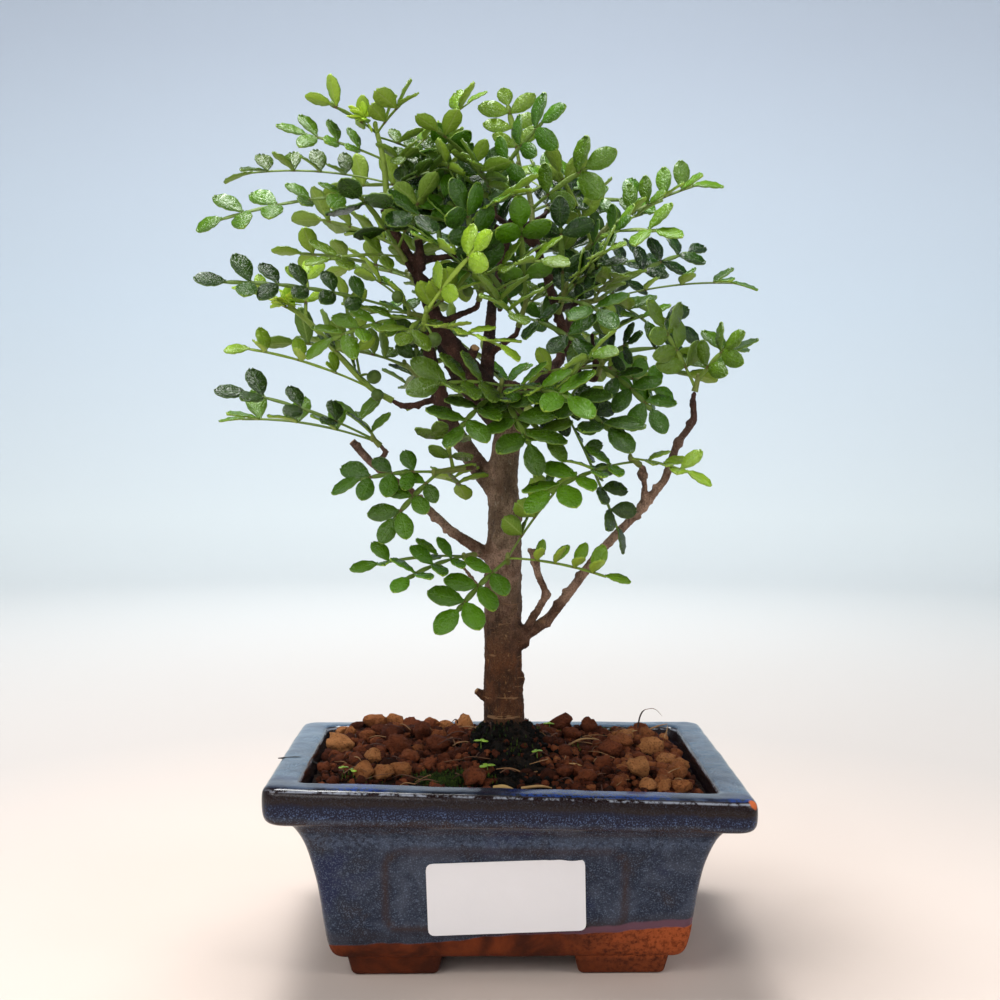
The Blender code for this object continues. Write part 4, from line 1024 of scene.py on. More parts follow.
# Leaf sprays: the points of each green shoot, then its fronds as (place along the shoot from 0 to 1,
# tip, pairs of leaflets, lean of the upper face towards the front in degrees)
SPRAYS = {
    "top_left": (((-33, -8, 205), (-34, -10, 216), (-36, -12, 225)), (
        (0.1, (-83, -24, 195), 3, 40),
        (0.3, (-79, 4, 209), 3, 20),
        (0.62, (-61, -16, 222), 2, 40),
        (1.0, (-53, -8, 233), 2, 25),
        (1.0, (-26, -24, 230), 1, 30),
    )),
    "top_arch": (((-31, 2, 208), (-29, 4, 220)), (
        (1.0, (-5, 10, 240), 4, -40),
        (0.5, (-16, 30, 228), 3, 0),
    )),
    "top_middle": (((7, 0, 200), (6, 3, 210), (3, 4, 218)), (
        (1.0, (-1, 8, 240), 3, 60),
        (0.3, (26, -14, 216), 3, 75),
        (0.6, (25, 32, 219), 3, 20),
    )),
    "right_top": (((20, 8, 192), (29, 10, 202)), (
        (1.0, (61, 14, 216), 4, 30),
        (0.8, (45, -14, 196), 2, 60),
        (0.4, (46, 42, 211), 3, 10),
    )),
    "right_middle": (((21, 12, 180), (31, 14, 182)), (
        (1.0, (72, 6, 185), 4, 15),
        (0.8, (42, -14, 172), 2, 50),
        (0.6, (64, 46, 195), 3, 10),
    )),
    "right_tip": (((51, -10, 154), (52, -10, 158)), (
        (0.3, (38, -18, 175), 3, 50),
        (1.0, (57, -16, 173), 3, 55),
        (0.8, (69, 18, 168), 2, 20),
    )),
    "right_inner": (((25, -4, 159), (26, -8, 162)), (
        (0.8, (42, -24, 143), 3, 30),
        (0.5, (47, 6, 152), 2, 20),
        (1.0, (35, -20, 168), 2, 40),
    )),
    "right_front": (((13, -14, 152), (14, -18, 154)), (
        (0.2, (33, -14, 108), 4, 60),
        (0.9, (29, -40, 138), 3, 45),
        (0.9, (23, -40, 164), 2, 50),
    )),
    "trunk_low": (((0, -8, 107), (0, -11, 109)), (
        (0.8, (34, -18, 101), 4, 70),
        (0.4, (-18, -30, 90), 3, 55),
    )),
    "right_twig": (((36, -10, 134), (33, -14, 136)), (
        (0.5, (-4, -30, 124), 4, 35),
        (1.0, (52, -24, 130), 3, 20),
    )),
    "left_front_low": (((-12, -14, 133), (-20, -20, 132)), (
        (1.0, (-46, -26, 128), 3, 45),
        (0.9, (-35, -34, 119), 2, 50),
        (0.4, (-18, -36, 144), 2, 45),
    )),
    "left_low": (((-9, -8, 109), (-12, -12, 109)), (
        (1.0, (-43, -18, 105), 4, 25),
        (0.5, (-34, -36, 102), 3, 40),
    )),
    "left_tip": (((-35, -8, 139), (-37, -9, 141)), (
        (1.0, (-78, -16, 154), 3, 35),
        (0.7, (-82, 12, 146), 3, 20),
        (0.4, (-45, 24, 151), 2, 10),
    )),
    "left_shoot": (((-32, 1.5, 151.5), (-38, 2, 155), (-47, 4, 164), (-54, 4, 172), (-61, 4, 178)), (
        (0.2, (-80, -4, 162), 3, 30),
        (1.0, (-76, 2, 183), 1, 20),
        (0.95, (-57, 12, 192), 1, 20),
    )),
    "left_middle": (((-22, -6, 174), (-27, -10, 175)), (
        (1.0, (-82, -26, 181), 5, 50),
        (0.6, (-46, -34, 163), 3, 45),
        (0.3, (-45, 18, 176), 3, 10),
    )),
    "left_upper": (((-28, -8, 189), (-31, -9, 194)), (
        (0.3, (-53, -30, 185), 3, 45),
        (1.0, (-59, 6, 203), 3, 25),
        (0.9, (-42, -34, 205), 2, 45),
    )),
    "front_new": (((-23, -16, 170), (-22, -20, 175)), (
        (1.0, (-5, -38, 192), 3, 60),
        (0.3, (3, -40, 161), 3, 30),
    )),
    "front_middle": (((-3, -12, 152), (-2, -20, 156)), (
        (0.9, (-24, -40, 153), 3, 45),
        (0.5, (-16, -42, 139), 3, 50),
        (0.9, (20, -44, 152), 3, 45),
        (0.4, (8, -40, 136), 3, 50),
    )),
    "front_upper": (((-8, -6, 179), (-6, -12, 186)), (
        (0.6, (-22, -40, 185), 3, 45),
        (1.0, (12, -40, 185), 3, 50),
        (0.4, (2, -46, 168), 3, 45),
        (1.0, (-14, -26, 205), 2, 40),
    )),
    "upper_middle": (((-10, 0, 195), (-11, -3, 204)), (
        (1.0, (-19, -18, 218), 3, 40),
        (0.7, (5, -30, 205), 3, 45),
        (0.4, (-30, -34, 197), 2, 45),
    )),
    "middle_right": (((14, -2, 176), (16, -8, 183)), (
        (0.5, (26, -34, 171), 2, 45),
        (1.0, (29, -26, 192), 3, 45),
        (0.7, (14, -20, 200), 2, 40),
    )),
    "centre": (((3, -4, 172), (5, -8, 179)), (
        (1.0, (-6, -18, 202), 3, 40),
        (0.8, (24, 14, 196), 3, 10),
        (0.4, (22, -30, 166), 3, 45),
    )),
    "top_centre": (((-4, 2, 206), (-5, 0, 213)), (
        (1.0, (-24, -20, 225), 3, 45),
        (0.8, (13, -22, 228), 3, 40),
        (0.5, (-4, 34, 216), 3, 0),
    )),
}
# Sprays of the far side, as (angle round the trunk, distance out, height); their fronds follow a rule
BACK_SPRAYS = {
    "back_low_right": (35, 24, 160),
    "back_low_middle": (88, 26, 152),
    "back_low_left": (150, 28, 158),
    "back_right": (50, 36, 186),
    "back_middle": (92, 38, 182),
    "back_left": (132, 38, 186),
    "back_top_right": (62, 26, 208),
    "back_top_left": (118, 26, 210),
}
BACK_FROND_TURNS = (-52, 0, 50)
BACK_FROND_RISE = (-6, 8, 14)
BACK_FROND_LENGTH = 40
BACK_FROND_PAIRS = 2
WOOD_CELL = 0.44
WOOD_SIDES = 12
# The swollen collars where branches part, with their radius
COLLARS = (
    (2.2, 0, 85, 3.4), (2.6, -2.2, 87, 3.3), (4.4, -1.6, 84.2, 2.5), (0.5, -3.2, 88.5, 2.4),
    (-2.6, 0, 107, 3.2), (-3.2, 0.2, 128, 4.0), (0.4, 0, 150, 4.9), (-4.6, -0.6, 153.5, 3.6),
    (3.5, 0.2, 152.4, 3.5), (19.2, 1, 158.8, 2.5), (-23.6, -4.4, 184, 2.3), (-18.3, -3, 170.4, 2.8),
    (-10.6, -3, 161.6, 2.6), (37.4, -6, 122.2, 1.9), (25.8, -3, 109.4, 1.9), (46.8, -9, 140, 1.7),
    (-26.8, -6, 126, 1.8), (-14.9, -3, 114.8, 1.8), (10.8, -7, 98, 1.6), (-16.9, 2, 146.4, 2.8),
)
COLLAR_SHARE = 0.93
# Branches that end in a pale cut, and branches with a knobbly end
CUT_ENDS = ("stub_b", "stub_front", "trunk_stub", "left_lower", "stem_c")
KNOBBLY_ENDS = ("front_stub", "right_side_twig", "leader_b")
KNOBS = 9
# Scars on the trunk where thin twigs fell off: a raised ring round a dent
SCARS = ((-2.6, -5.0, 113.5), (2.2, -4.9, 94.0), (3.0, -3.0, 139.0), (-2.0, -3.6, 126.0), (4.4, 2.0, 119.0),
         (-4.0, 3.0, 98.0), (1.0, 5.0, 108.0), (-1.0, 5.2, 84.0), (5.2, -1.5, 74.0), (-0.5, 4.4, 131.0))
# Branches under this radius are drawn a little finer than their solids, with a knot at every node
THIN_BELOW = 2.0
THIN_SHARE = 0.86
NODE_PITCH = 5.2
KNOT_RADIUS = 0.72
KNOTS_BELOW = 2.6
MARK_PITCH = 1.5


def nearest_wood(target):
    """The point on the branches' middle lines that is nearest to target, and the radius there."""
    best = None
    for line in BRANCHES.values():
        for a, b in zip(line, line[1:]):
            start, end = Vector(a[:3]), Vector(b[:3])
            span = end - start
            last = TWIG_LAST_ROOT if b is line[-1] else 1.0
            share = min(max((target - start).dot(span) / span.length_squared, 0.0), last)
            point = start + span * share
            far = (target - point).length
            if best is None or far < best[0]:
                best = (far, point, a[3] + (b[3] - a[3]) * share)
    return best[1], best[2]


def twig_to(shoot):
    """Middle line and radii of the twig that carries a shoot: it ends just short of it, in line."""
    start = Vector(shoot[0])
    ahead = (Vector(shoot[1]) - start).normalized()
    root, _ = nearest_wood(start - ahead * TWIG_END)
    return [root, start - ahead * TWIG_END, start - ahead * GAP], TWIG_RADII


def wood_lines(sprays):
    """Every bar of the wood, as (points, radii, sides)."""
    bars = []
    for name, line in BRANCHES.items():
        sides = TRUNK_SIDES if name == "trunk" else BRANCH_SIDES
        bars.append(([p[:3] for p in line], [p[3] for p in line], sides))
    for shoot, _ in sprays.values():
        bars.append((*twig_to(shoot), TWIG_SIDES))
    return bars


def back_spray(angle, out, height):
    """A shoot and three fronds of the far side, spread outwards round the shoot."""
    turn = math.radians(angle)
    outward = Vector((math.cos(turn), math.sin(turn), 0))
    start = outward * out + UP * height
    end = start + outward * 6 + UP * 5
    fronds = []
    for k, (swing, rise) in enumerate(zip(BACK_FROND_TURNS, BACK_FROND_RISE)):
        facing = Matrix.Rotation(math.radians(swing), 3, "Z") @ outward
        share = 0.3 + 0.35 * k
        root = start.lerp(end, share)
        tip = root + (facing + UP * math.sin(math.radians(rise))).normalized() * BACK_FROND_LENGTH
        fronds.append((share, tuple(tip), BACK_FROND_PAIRS, -30))
    return (tuple(start), tuple(end)), tuple(fronds)


sprays = dict(SPRAYS)
for name, place in BACK_SPRAYS.items():
    sprays[name] = back_spray(*place)
bars = wood_lines(sprays)

points, faces, radius_marks = [], [], []
for bar_points, bar_radii, _ in bars:
    line = [Vector(p) for p in bar_points]
    radii = [r * (THIN_SHARE if r < THIN_BELOW else 1.0) for r in bar_radii]
    if bar_radii is TWIG_RADII:
        line[-1] = line[-1] + (line[-1] - line[-2]).normalized() * GAP
        radii = TWIG_DRAWN_RADII
    bends = "AUTO" if max(radii) > 4 else "VECTOR"
    made_points, made_faces = swept(line, radii, WOOD_SIDES, bends, steps=10)
    faces += [tuple(len(points) + i for i in face) for face in made_faces]
    points += made_points
    for a, b, ra, rb in zip(line, line[1:], radii, radii[1:]):
        steps = max(int((b - a).length / MARK_PITCH), 1)
        for k in range(steps):
            radius_marks.append((a.lerp(b, k / steps), ra + (rb - ra) * k / steps))
wood = mesh_object("wood", points, faces)
# Knots, knobs and collars are balls that melt into the branches when all is remeshed
balls = []
draw = random.Random(41)


def add_ball(place, radius):
    bpy.ops.mesh.primitive_ico_sphere_add(subdivisions=2, radius=radius, location=place)
    balls.append(bpy.context.object)


for name, line in BRANCHES.items():
    run = NODE_PITCH
    for a, b in zip(line, line[1:]):
        start, end = Vector(a[:3]), Vector(b[:3])
        while run < (end - start).length and a[3] < KNOTS_BELOW:
            share = run / (end - start).length
            radius = a[3] + (b[3] - a[3]) * share
            out = any_turn().to_3x3() @ Vector((1, 0, 0))
            out = (out - (end - start) * out.dot(end - start) / (end - start).length_squared).normalized()
            size = KNOT_RADIUS * draw.uniform(0.8, 1.35)
            place = start.lerp(end, share) + out * (radius * THIN_SHARE * 0.9)
            add_ball(place, size)
            run += NODE_PITCH * draw.uniform(0.7, 1.4)
        run -= (end - start).length
        run = max(run, NODE_PITCH * 0.4)
for name in KNOBBLY_ENDS:
    tip = Vector(BRANCHES[name][-1][:3])
    for _ in range(KNOBS):
        place = tip + Vector((draw.gauss(0, 0.9), draw.gauss(0, 0.9), draw.uniform(-2.6, 0.9)))
        add_ball(place, draw.uniform(0.6, 1.0))
for x, y, z, radius in COLLARS:
    add_ball((x, y, z), radius * COLLAR_SHARE)
with bpy.context.temp_override(active_object=wood, selected_editable_objects=[wood, *balls]):
    bpy.ops.object.join()
bpy.ops.object.select_all(action="DESELECT")
wood.select_set(True)
apply_modifier(wood, "REMESH", mode="VOXEL", voxel_size=WOOD_CELL)
apply_modifier(wood, "SMOOTH", factor=0.5, iterations=5)

marks = KDTree(len(radius_marks))
for k, (point, _) in enumerate(radius_marks):
    marks.insert(point, k)
marks.balance()
ends = []
for name in CUT_ENDS:
    last, before = Vector(BRANCHES[name][-1][:3]), Vector(BRANCHES[name][-2][:3])
    ends.append((last, (last - before).normalized(), BRANCHES[name][-1][3]))
thickness, cut = [], []
for vert, normal in verts_and_normals(wood.data):
    here = vert.co.copy()
    _, k, _ = marks.find(here)
    radius = radius_marks[k][1]
    pale = 0.0
    for last, ahead, end_radius in ends:
        if (here - last).length < end_radius + 2.0 and (here - last).dot(ahead) > -0.7:
            pale = max(pale, min(max((normal.dot(ahead) - 0.55) / 0.3, 0), 1))
    ridge = noise.noise(Vector((here.x * 0.9, here.y * 0.9, here.z * 0.16)))
    knots = noise.noise(here * 0.55)
    flake = noise.noise(here * 1.7)
    push = radius * (0.05 * ridge + 0.065 * knots) + 0.13 * flake + 0.09 * noise.noise(here * 3.1)
    for scar in SCARS:
        far = (here - Vector(scar)).length
        if far < 4:
            push += 0.55 * math.exp(-((far - 1.5) / 0.55) ** 2) - 0.25 * math.exp(-(far / 0.9) ** 2)
    ring = math.exp(-(math.sin(here.z * 0.55 + 2 * knots) / 0.16) ** 2) * 0.10 * (radius < 2.3)
    vert.co += normal * (push + ring) * (1 - pale)
    thickness.append(radius)
    cut.append(pale)
add_values(wood.data, "thickness", thickness)
add_values(wood.data, "cut", cut)
smooth_all(wood.data)

# Colours of the bark, as a darker and a lighter one where they mottle
LOW_BARK = ((0.175, 0.094, 0.060), (0.420, 0.270, 0.190))
HIGH_BARK = ((0.022, 0.008, 0.006), (0.085, 0.035, 0.025))
OLD_BARK = ((0.140, 0.088, 0.056), (0.320, 0.212, 0.140))
RUSTY_FOOT = ((0.026, 0.008, 0.002), (0.125, 0.038, 0.010))
FLECK_GREY = (0.44, 0.36, 0.28)
FLECK_RUST = (0.42, 0.20, 0.075)
FURROW_DARK = (0.028, 0.015, 0.010)
GRIT_DARK = (0.024, 0.012, 0.008)
GRIT_PALE = (0.42, 0.33, 0.25)
CRACK_EDGE = (0.40, 0.21, 0.10)
SCALE_EDGE = (0.42, 0.24, 0.12)
FOOT_MOSS = (0.020, 0.024, 0.012)
SAWN_WOOD = ((0.34, 0.17, 0.075), (0.52, 0.33, 0.17))

bark = Finish("bark")
x, y, z = bark.parts(bark.place())
height = z / MM
stretched, cross = (
    bark.node("ShaderNodeVectorMath", {"operation": "MULTIPLY"}, {0: bark.place(), 1: (1, 1, squeeze)})
    for squeeze in (0.28, 5))
thick = bark.painted("thickness").above(1.6, 4.4) * height.above(160, 138)
furrow = bark.clouds(800, 5, 0.7, vector=stretched, warp=0.4)
blotch = bark.clouds(170, 4, 0.6)
flecks = bark.clouds(1500, 3, 0.6, vector=stretched)
grit = bark.clouds(2600, 3, 0.7)
cracks = bark.clouds(150, 3, 0.6, vector=cross, warp=0.3)
scales = bark.cells(700, vector=cross)
low_young = bark.mix(blotch.above(0.36, 0.64), *LOW_BARK)
high_young = bark.mix(blotch.above(0.38, 0.62), *HIGH_BARK)
young_bark = bark.mix(height.above(122, 150), low_young, high_young)
old_bark = bark.mix(blotch.above(0.34, 0.66), *OLD_BARK)
rust = height.above(112, 76)
pale_fleck = (flecks.above(0.62, 0.70) * (0.25 + thick * 0.35)).clamped()
mossy = height.above(66, 58) * blotch.above(0.45, 0.6)
bark_colour = bark.layers(
    bark.mix(thick, young_bark, old_bark),
    (rust * 0.95, bark.mix(blotch.above(0.3, 0.7), *RUSTY_FOOT)),
    (furrow.above(0.48, 0.34) * 0.55, FURROW_DARK),
    (pale_fleck, bark.mix(rust, FLECK_GREY, FLECK_RUST)),
    (grit.above(0.52, 0.36) * 0.6, GRIT_DARK),
    (grit.above(0.60, 0.72) * 0.35, GRIT_PALE),
    (cracks.above(0.61, 0.66) * rust * 0.6, CRACK_EDGE),
    (scales.above(0.16, 0.08) * thick * 0.5, SCALE_EDGE),
    (mossy * 0.7, FOOT_MOSS),
    (bark.painted("cut"), bark.mix(bark.clouds(700, 3), *SAWN_WOOD)))
put_in_frame(wood, bark.surface(
    base_color=bark_colour, roughness=furrow * 0.25 + 0.62,
    normal=bark.bump(furrow * 0.5 + flecks * 0.25 + grit * 0.25, 0.0014, 1.0), specular_ior_level=0.2),
    "tree", "bark")

# Leaf sprays
# Each spray is a green shoot of this year with its compound leaves. A leaf has a rib with narrow
# wings, pairs of small glossy leaflets with a finely scalloped edge, and one leaflet at its end. They
# are dark above and matt yellow-green below, the undersides painted brighter as painted light shining
# through them; the youngest are bright green. Some carry hard berries.

# Berries of each spray, as place and radius
BERRIES = {
    "left_middle": ((-30, -13, 179, 1.7),),
    "front_new": ((-26, -19, 168, 2.3), (-20, -20, 167, 2.1)),
    "left_shoot": ((-37, -2, 158, 2.1), (-36, -3, 153, 1.8)),
    "right_front": ((16, -19, 159, 1.6),),
    "front_upper": ((-11, -10, 181, 1.6),),
}
# The leaves stand where the solids' fronds do, so those are worked out first, as they were there
BLADE_THICK = 0.7
RACHIS_HALF = 0.55
FIRST_PAIR = 0.24
LAST_PAIR = 0.78
LEAF_JOIN = 1.7
FULL_FROND = 32.0
SMALLEST_SCALE = 0.7
PAIR_PITCH = 6.3
LEAF_LENGTH = 8.6
LEAF_WIDTH = 5.2
LEAF_WIDEST = 0.62
LEAF_FORWARD = 28
LEAF_DROOP = 0.12
ARCH = 0.10
SHOOT_RADIUS = 0.8
SHOOT_SIDES = 5
LAST_FROND = 0.9
CLEARANCE = 0.4
STALK_SHARE = 0.12
END_LEAFLET = 0.95
TURN_STEPS = (0, 6, -6, 12, -12, 19, -19, 27, -27, 36, -36)
LEAN_STEPS = (0, 25, -25)
SHRINK_STEPS = (1.0, 0.88, 0.76, 0.64)
TOO_STEEP = 0.97


def tree_of(points, faces):
    return BVHTree.FromPolygons([tuple(p) for p in points], faces)


def bar_tree(points, radii, sides):
    """The space of a round bar along points, closed by flat ends, to test what touches it."""
    points = [Vector(p) for p in points]
    turns = [2 * math.pi * k / sides for k in range(sides)]
    skin, faces = [], []
    across = None
    for i, point in enumerate(points):
        along = (points[min(i + 1, len(points) - 1)] - points[max(i - 1, 0)]).normalized()
        if across is None:
            across = along.orthogonal().normalized()
        else:
            across = (across - along * across.dot(along)).normalized()
        other = along.cross(across)
        skin += [point + (across * math.cos(a) + other * math.sin(a)) * radii[i] for a in turns]
    for below in range(0, len(skin) - sides, sides):
        for k in range(sides):
            a, b = below + k, below + (k + 1) % sides
            faces.append((a, b, b + sides, a + sides))
    faces.append(tuple(reversed(range(sides))))
    faces.append(tuple(range(len(skin) - sides, len(skin))))
    return tree_of(skin, faces)


def bend(base, tip, share):
    """A point on the frond's middle line, which arches upwards."""
    top = (base + tip) / 2 + UP * ARCH * (tip - base).length
    return base * (1 - share) ** 2 + top * 2 * share * (1 - share) + tip * share ** 2


def frond_line(base, tip, pairs, lean):
    """What the solid of a frond and its finished leaf share: length, scale, place of the end leaflet
    from 0 to 1, pairs that have room, and the frame at any share of the line."""
    length = (tip - base).length
    scale = min(max(length / FULL_FROND, SMALLEST_SCALE), 1.0)
    want = Vector((0, -math.sin(math.radians(lean)), math.cos(math.radians(lean))))
    if abs(want.dot((tip - base).normalized())) > TOO_STEEP:
        want = Vector((0, -1, 0))

    def frame_at(share):
        point = bend(base, tip, share)
        along = (bend(base, tip, share + 0.02) - point).normalized()
        normal = (want - along * want.dot(along)).normalized()
        return point, along, normal, along.cross(normal)

    last = 1 - LEAF_LENGTH * scale * END_LEAFLET / length
    room = (LAST_PAIR * last - FIRST_PAIR) * length
    pairs = min(pairs, 1 + int(room / (PAIR_PITCH * scale)))
    return length, scale, last, pairs, frame_at


def frond_tree(base, tip, pairs, lean, grow):
    """The space of a frond's solid, above its stalk: one arched blade cut to its rib, a rachis strip
    with pairs of leaflets and one at its end. grow widens and thickens it."""
    length, scale, last, pairs, frame_at = frond_line(base, tip, pairs, lean)
    half = RACHIS_HALF + grow
    join = LEAF_JOIN * scale / length
    # Shares along the rachis where it begins, where each pair opens and closes, and where it ends
    stations = [STALK_SHARE]
    for pair in range(pairs):
        middle = FIRST_PAIR + (LAST_PAIR * last - FIRST_PAIR) * pair / max(pairs - 1, 1) + 0.02
        if pairs == 1:
            middle = 0.5 * last + 0.1
        stations += [middle - join / 2, middle + join / 2]
    stations.append(last)
    top, down, frames = [], [], []
    for share in stations:
        point, along, normal, side = frame_at(share)
        frames.append((along, normal, side))
        for sign in (1, -1):
            top.append(point + side * half * sign + normal * grow)
            down.append(normal)
    triangles = []
    for k in range(len(stations) - 1):
        right, left = 2 * k, 2 * k + 1
        triangles += [(right, right + 2, left + 2), (right, left + 2, left)]

    def leaflet(near, far, direction, forward, normal, size, sign):
        """Three triangles on the edge from near to far; direction points out of the rib."""
        root = (top[near] + top[far]) / 2
        reach = LEAF_LENGTH * scale * size + grow
        wide = LEAF_WIDTH * scale * size / 2 + grow
        sink = normal * LEAF_DROOP * reach
        first = len(top)
        shape = (
            root + direction * reach * LEAF_WIDEST - forward * wide,
            root + direction * reach - sink,
            root + direction * reach * LEAF_WIDEST + forward * wide,
        )
        for point in shape:
            top.append(point)
            down.append(normal)
        fan = [(near, first, far), (first, first + 2, far), (first, first + 1, first + 2)]
        triangles.extend(fan if sign > 0 else [tuple(reversed(t)) for t in fan])

    slant = math.radians(LEAF_FORWARD)
    for pair in range(pairs):
        opening = 1 + 2 * pair
        along, normal, side = frames[opening]
        size = 0.82 + 0.18 * math.sin(math.pi * (pair + 1) / (pairs + 1))
        for sign in (1, -1):
            out = side * sign
            direction = out * math.cos(slant) + along * math.sin(slant)
            forward = along * math.cos(slant) - out * math.sin(slant)
            near = 2 * opening + (0 if sign > 0 else 1)
            leaflet(near, near + 2, direction, forward, normal, size, sign)
    end = len(stations) - 1
    along, normal, side = frames[end]
    leaflet(2 * end + 1, 2 * end, along, side, normal, END_LEAFLET, -1)

    # A second face below closes the sheet, with walls round its edge
    count = len(top)
    thick = BLADE_THICK + 2 * grow
    points = top + [p - n * thick for p, n in zip(top, down)]
    edges = dict.fromkeys(edge for a, b, c in triangles for edge in ((a, b), (b, c), (c, a)))
    faces = list(triangles)
    faces += [(c + count, b + count, a + count) for a, b, c in triangles]
    for a, b in edges:
        if (b, a) not in edges:
            faces += [(b, a, a + count), (b, a + count, b + count)]
    return tree_of(points, faces)


def shoot_point(shoot, share):
    points = [Vector(p) for p in shoot]
    spans = [(b - a).length for a, b in zip(points, points[1:])]
    left = share * sum(spans)
    for a, b, span in zip(points, points[1:], spans):
        if left <= span or b is points[-1]:
            return a.lerp(b, min(left / span, 1.0))
        left -= span
    return points[-1]


def turned(base, tip, swing, rise):
    """The tip, swung round the base and raised."""
    span = tip - base
    level = span.cross(UP)
    if level.length < 0.2 * span.length:
        level = Vector((1, 0, 0))
    lifted = Matrix.Rotation(math.radians(rise), 3, level.normalized()) @ span
    return base + Matrix.Rotation(math.radians(swing), 3, "Z") @ lifted


def clear_spot(base, tip, pairs, lean, others):
    """The first tip and lean, turned in small steps, at which a frond touches none of the others."""
    turns = sorted(((s, r) for s in TURN_STEPS for r in TURN_STEPS), key=lambda t: abs(t[0]) + abs(t[1]))
    for shrink in SHRINK_STEPS:
        for more_lean in LEAN_STEPS:
            for swing, rise in turns:
                trial = turned(base, base.lerp(Vector(tip), shrink), swing, rise)
                test = frond_tree(base, trial, pairs, lean + more_lean, CLEARANCE)
                if not any(test.overlap(other) for other in others):
                    return trial, lean + more_lean
    raise ValueError("no room for a frond that ends at " + str(tip))


def fixed_solids(sprays):
    """What the fronds keep clear of, a little thicker than it is, each with the spray that owns it."""
    solids = []
    for points, radii, sides in wood_lines(sprays):
        solids.append((None, bar_tree(points, [r + CLEARANCE for r in radii], sides)))
    for name, (shoot, _) in sprays.items():
        solids.append((name, bar_tree(shoot, [SHOOT_RADIUS + CLEARANCE] * len(shoot), SHOOT_SIDES)))
    for name, berries in BERRIES.items():
        for x, y, z, radius in berries:
            ends = [(x, y, z - radius), (x, y, z + radius)]
            solids.append((name, bar_tree(ends, [radius, radius], BRANCH_SIDES)))
    return solids


def place_fronds(sprays):
    """Turn each frond in small steps until it clears the wood, the shoots and the fronds before it."""
    solids = fixed_solids(sprays)
    placed, blades = {}, []
    for name, (shoot, fronds) in sprays.items():
        placed[name] = []
        for share, tip, pairs, lean in fronds:
            base = shoot_point(shoot, share * LAST_FROND)
            others = [solid for owner, solid in solids if owner != name] + blades
            spot, lean = clear_spot(base, tip, pairs, lean, others)
            placed[name].append((base, spot, pairs, lean))
            blades.append(frond_tree(base, spot, pairs, lean, CLEARANCE))
            stalk = [base, bend(base, spot, STALK_SHARE)]
            solids.append((name, bar_tree(stalk, [RACHIS_HALF + CLEARANCE] * 2, 4)))
    return placed


# A leaflet of unit length, modelled once: rows along it, closer at its ends, the margin scalloped
# row by row
LEAF_ROWS = 12
LEAF_COLUMNS = 2
LEAF_FILM = 0.045
SCALLOP = 0.018
WIDEST = 0.56
FINE_PITCH = 4.6
bpy.ops.object.select_all(action="DESELECT")
bpy.ops.mesh.primitive_grid_add(x_subdivisions=LEAF_ROWS, y_subdivisions=LEAF_COLUMNS, size=1)
leaflet_blade = bpy.context.object
leaf_along, leaf_across = [], []
for vert in leaflet_blade.data.vertices:
    row = round((vert.co.x + 0.5) * LEAF_ROWS)
    share = row / LEAF_ROWS
    along = 0.2 * share + 0.8 * (0.5 - 0.5 * math.cos(math.pi * share))
    across = 2 * vert.co.y
    if along < WIDEST:
        wide = max(math.sin(math.pi / 2 * along / WIDEST) ** 0.82, 0.15)
    else:
        wide = max(1 - ((along - WIDEST) / (1 - WIDEST)) ** 2.1, 0) ** 0.52
    if row == LEAF_ROWS:
        wide, along = 0.17, 0.992 - 0.02 * (1 - abs(across))
    inner_row = 0 < row < LEAF_ROWS
    scallop = 1 + SCALLOP * (1 if row % 2 else -1) * abs(across) ** 3 * inner_row
    cup = 0.055 * abs(across)
    pucker = 0.016 * math.cos(row * 2.1) * abs(across)
    vert.co = (along, across * wide * scallop, cup + pucker - 0.10 * along ** 2)
    leaf_along.append(along)
    leaf_across.append(across)
blade_count = len(leaf_along)
apply_modifier(leaflet_blade, "SOLIDIFY", thickness=LEAF_FILM, offset=-1)
leaf_points, leaf_faces = shape_of(leaflet_blade)
leaf_upper = [float(k < blade_count) for k in range(len(leaf_points))]
leaf_along, leaf_across = leaf_along * 2, leaf_across * 2

RIB_STATIONS = 28
RIB_SIDES = 6
# Painted light: the leaves below this height are painted paler, for more light on them
LOW_LEAVES_Z = 140
LOW_LEAVES_PAINTED_LIGHTER = 0.30
# How steeply leaflets fold up, in degrees, on a flat frond and on one that leans
FLAT_FOLD = (22, 48)
LEANING_FOLD = (6, 28)
SPROUT_LEAFLETS = 26
BOX_LOW = (Vector(cad_low) - POT_CENTRE) / MM
BOX_HIGH = (Vector(cad_high) - POT_CENTRE) / MM


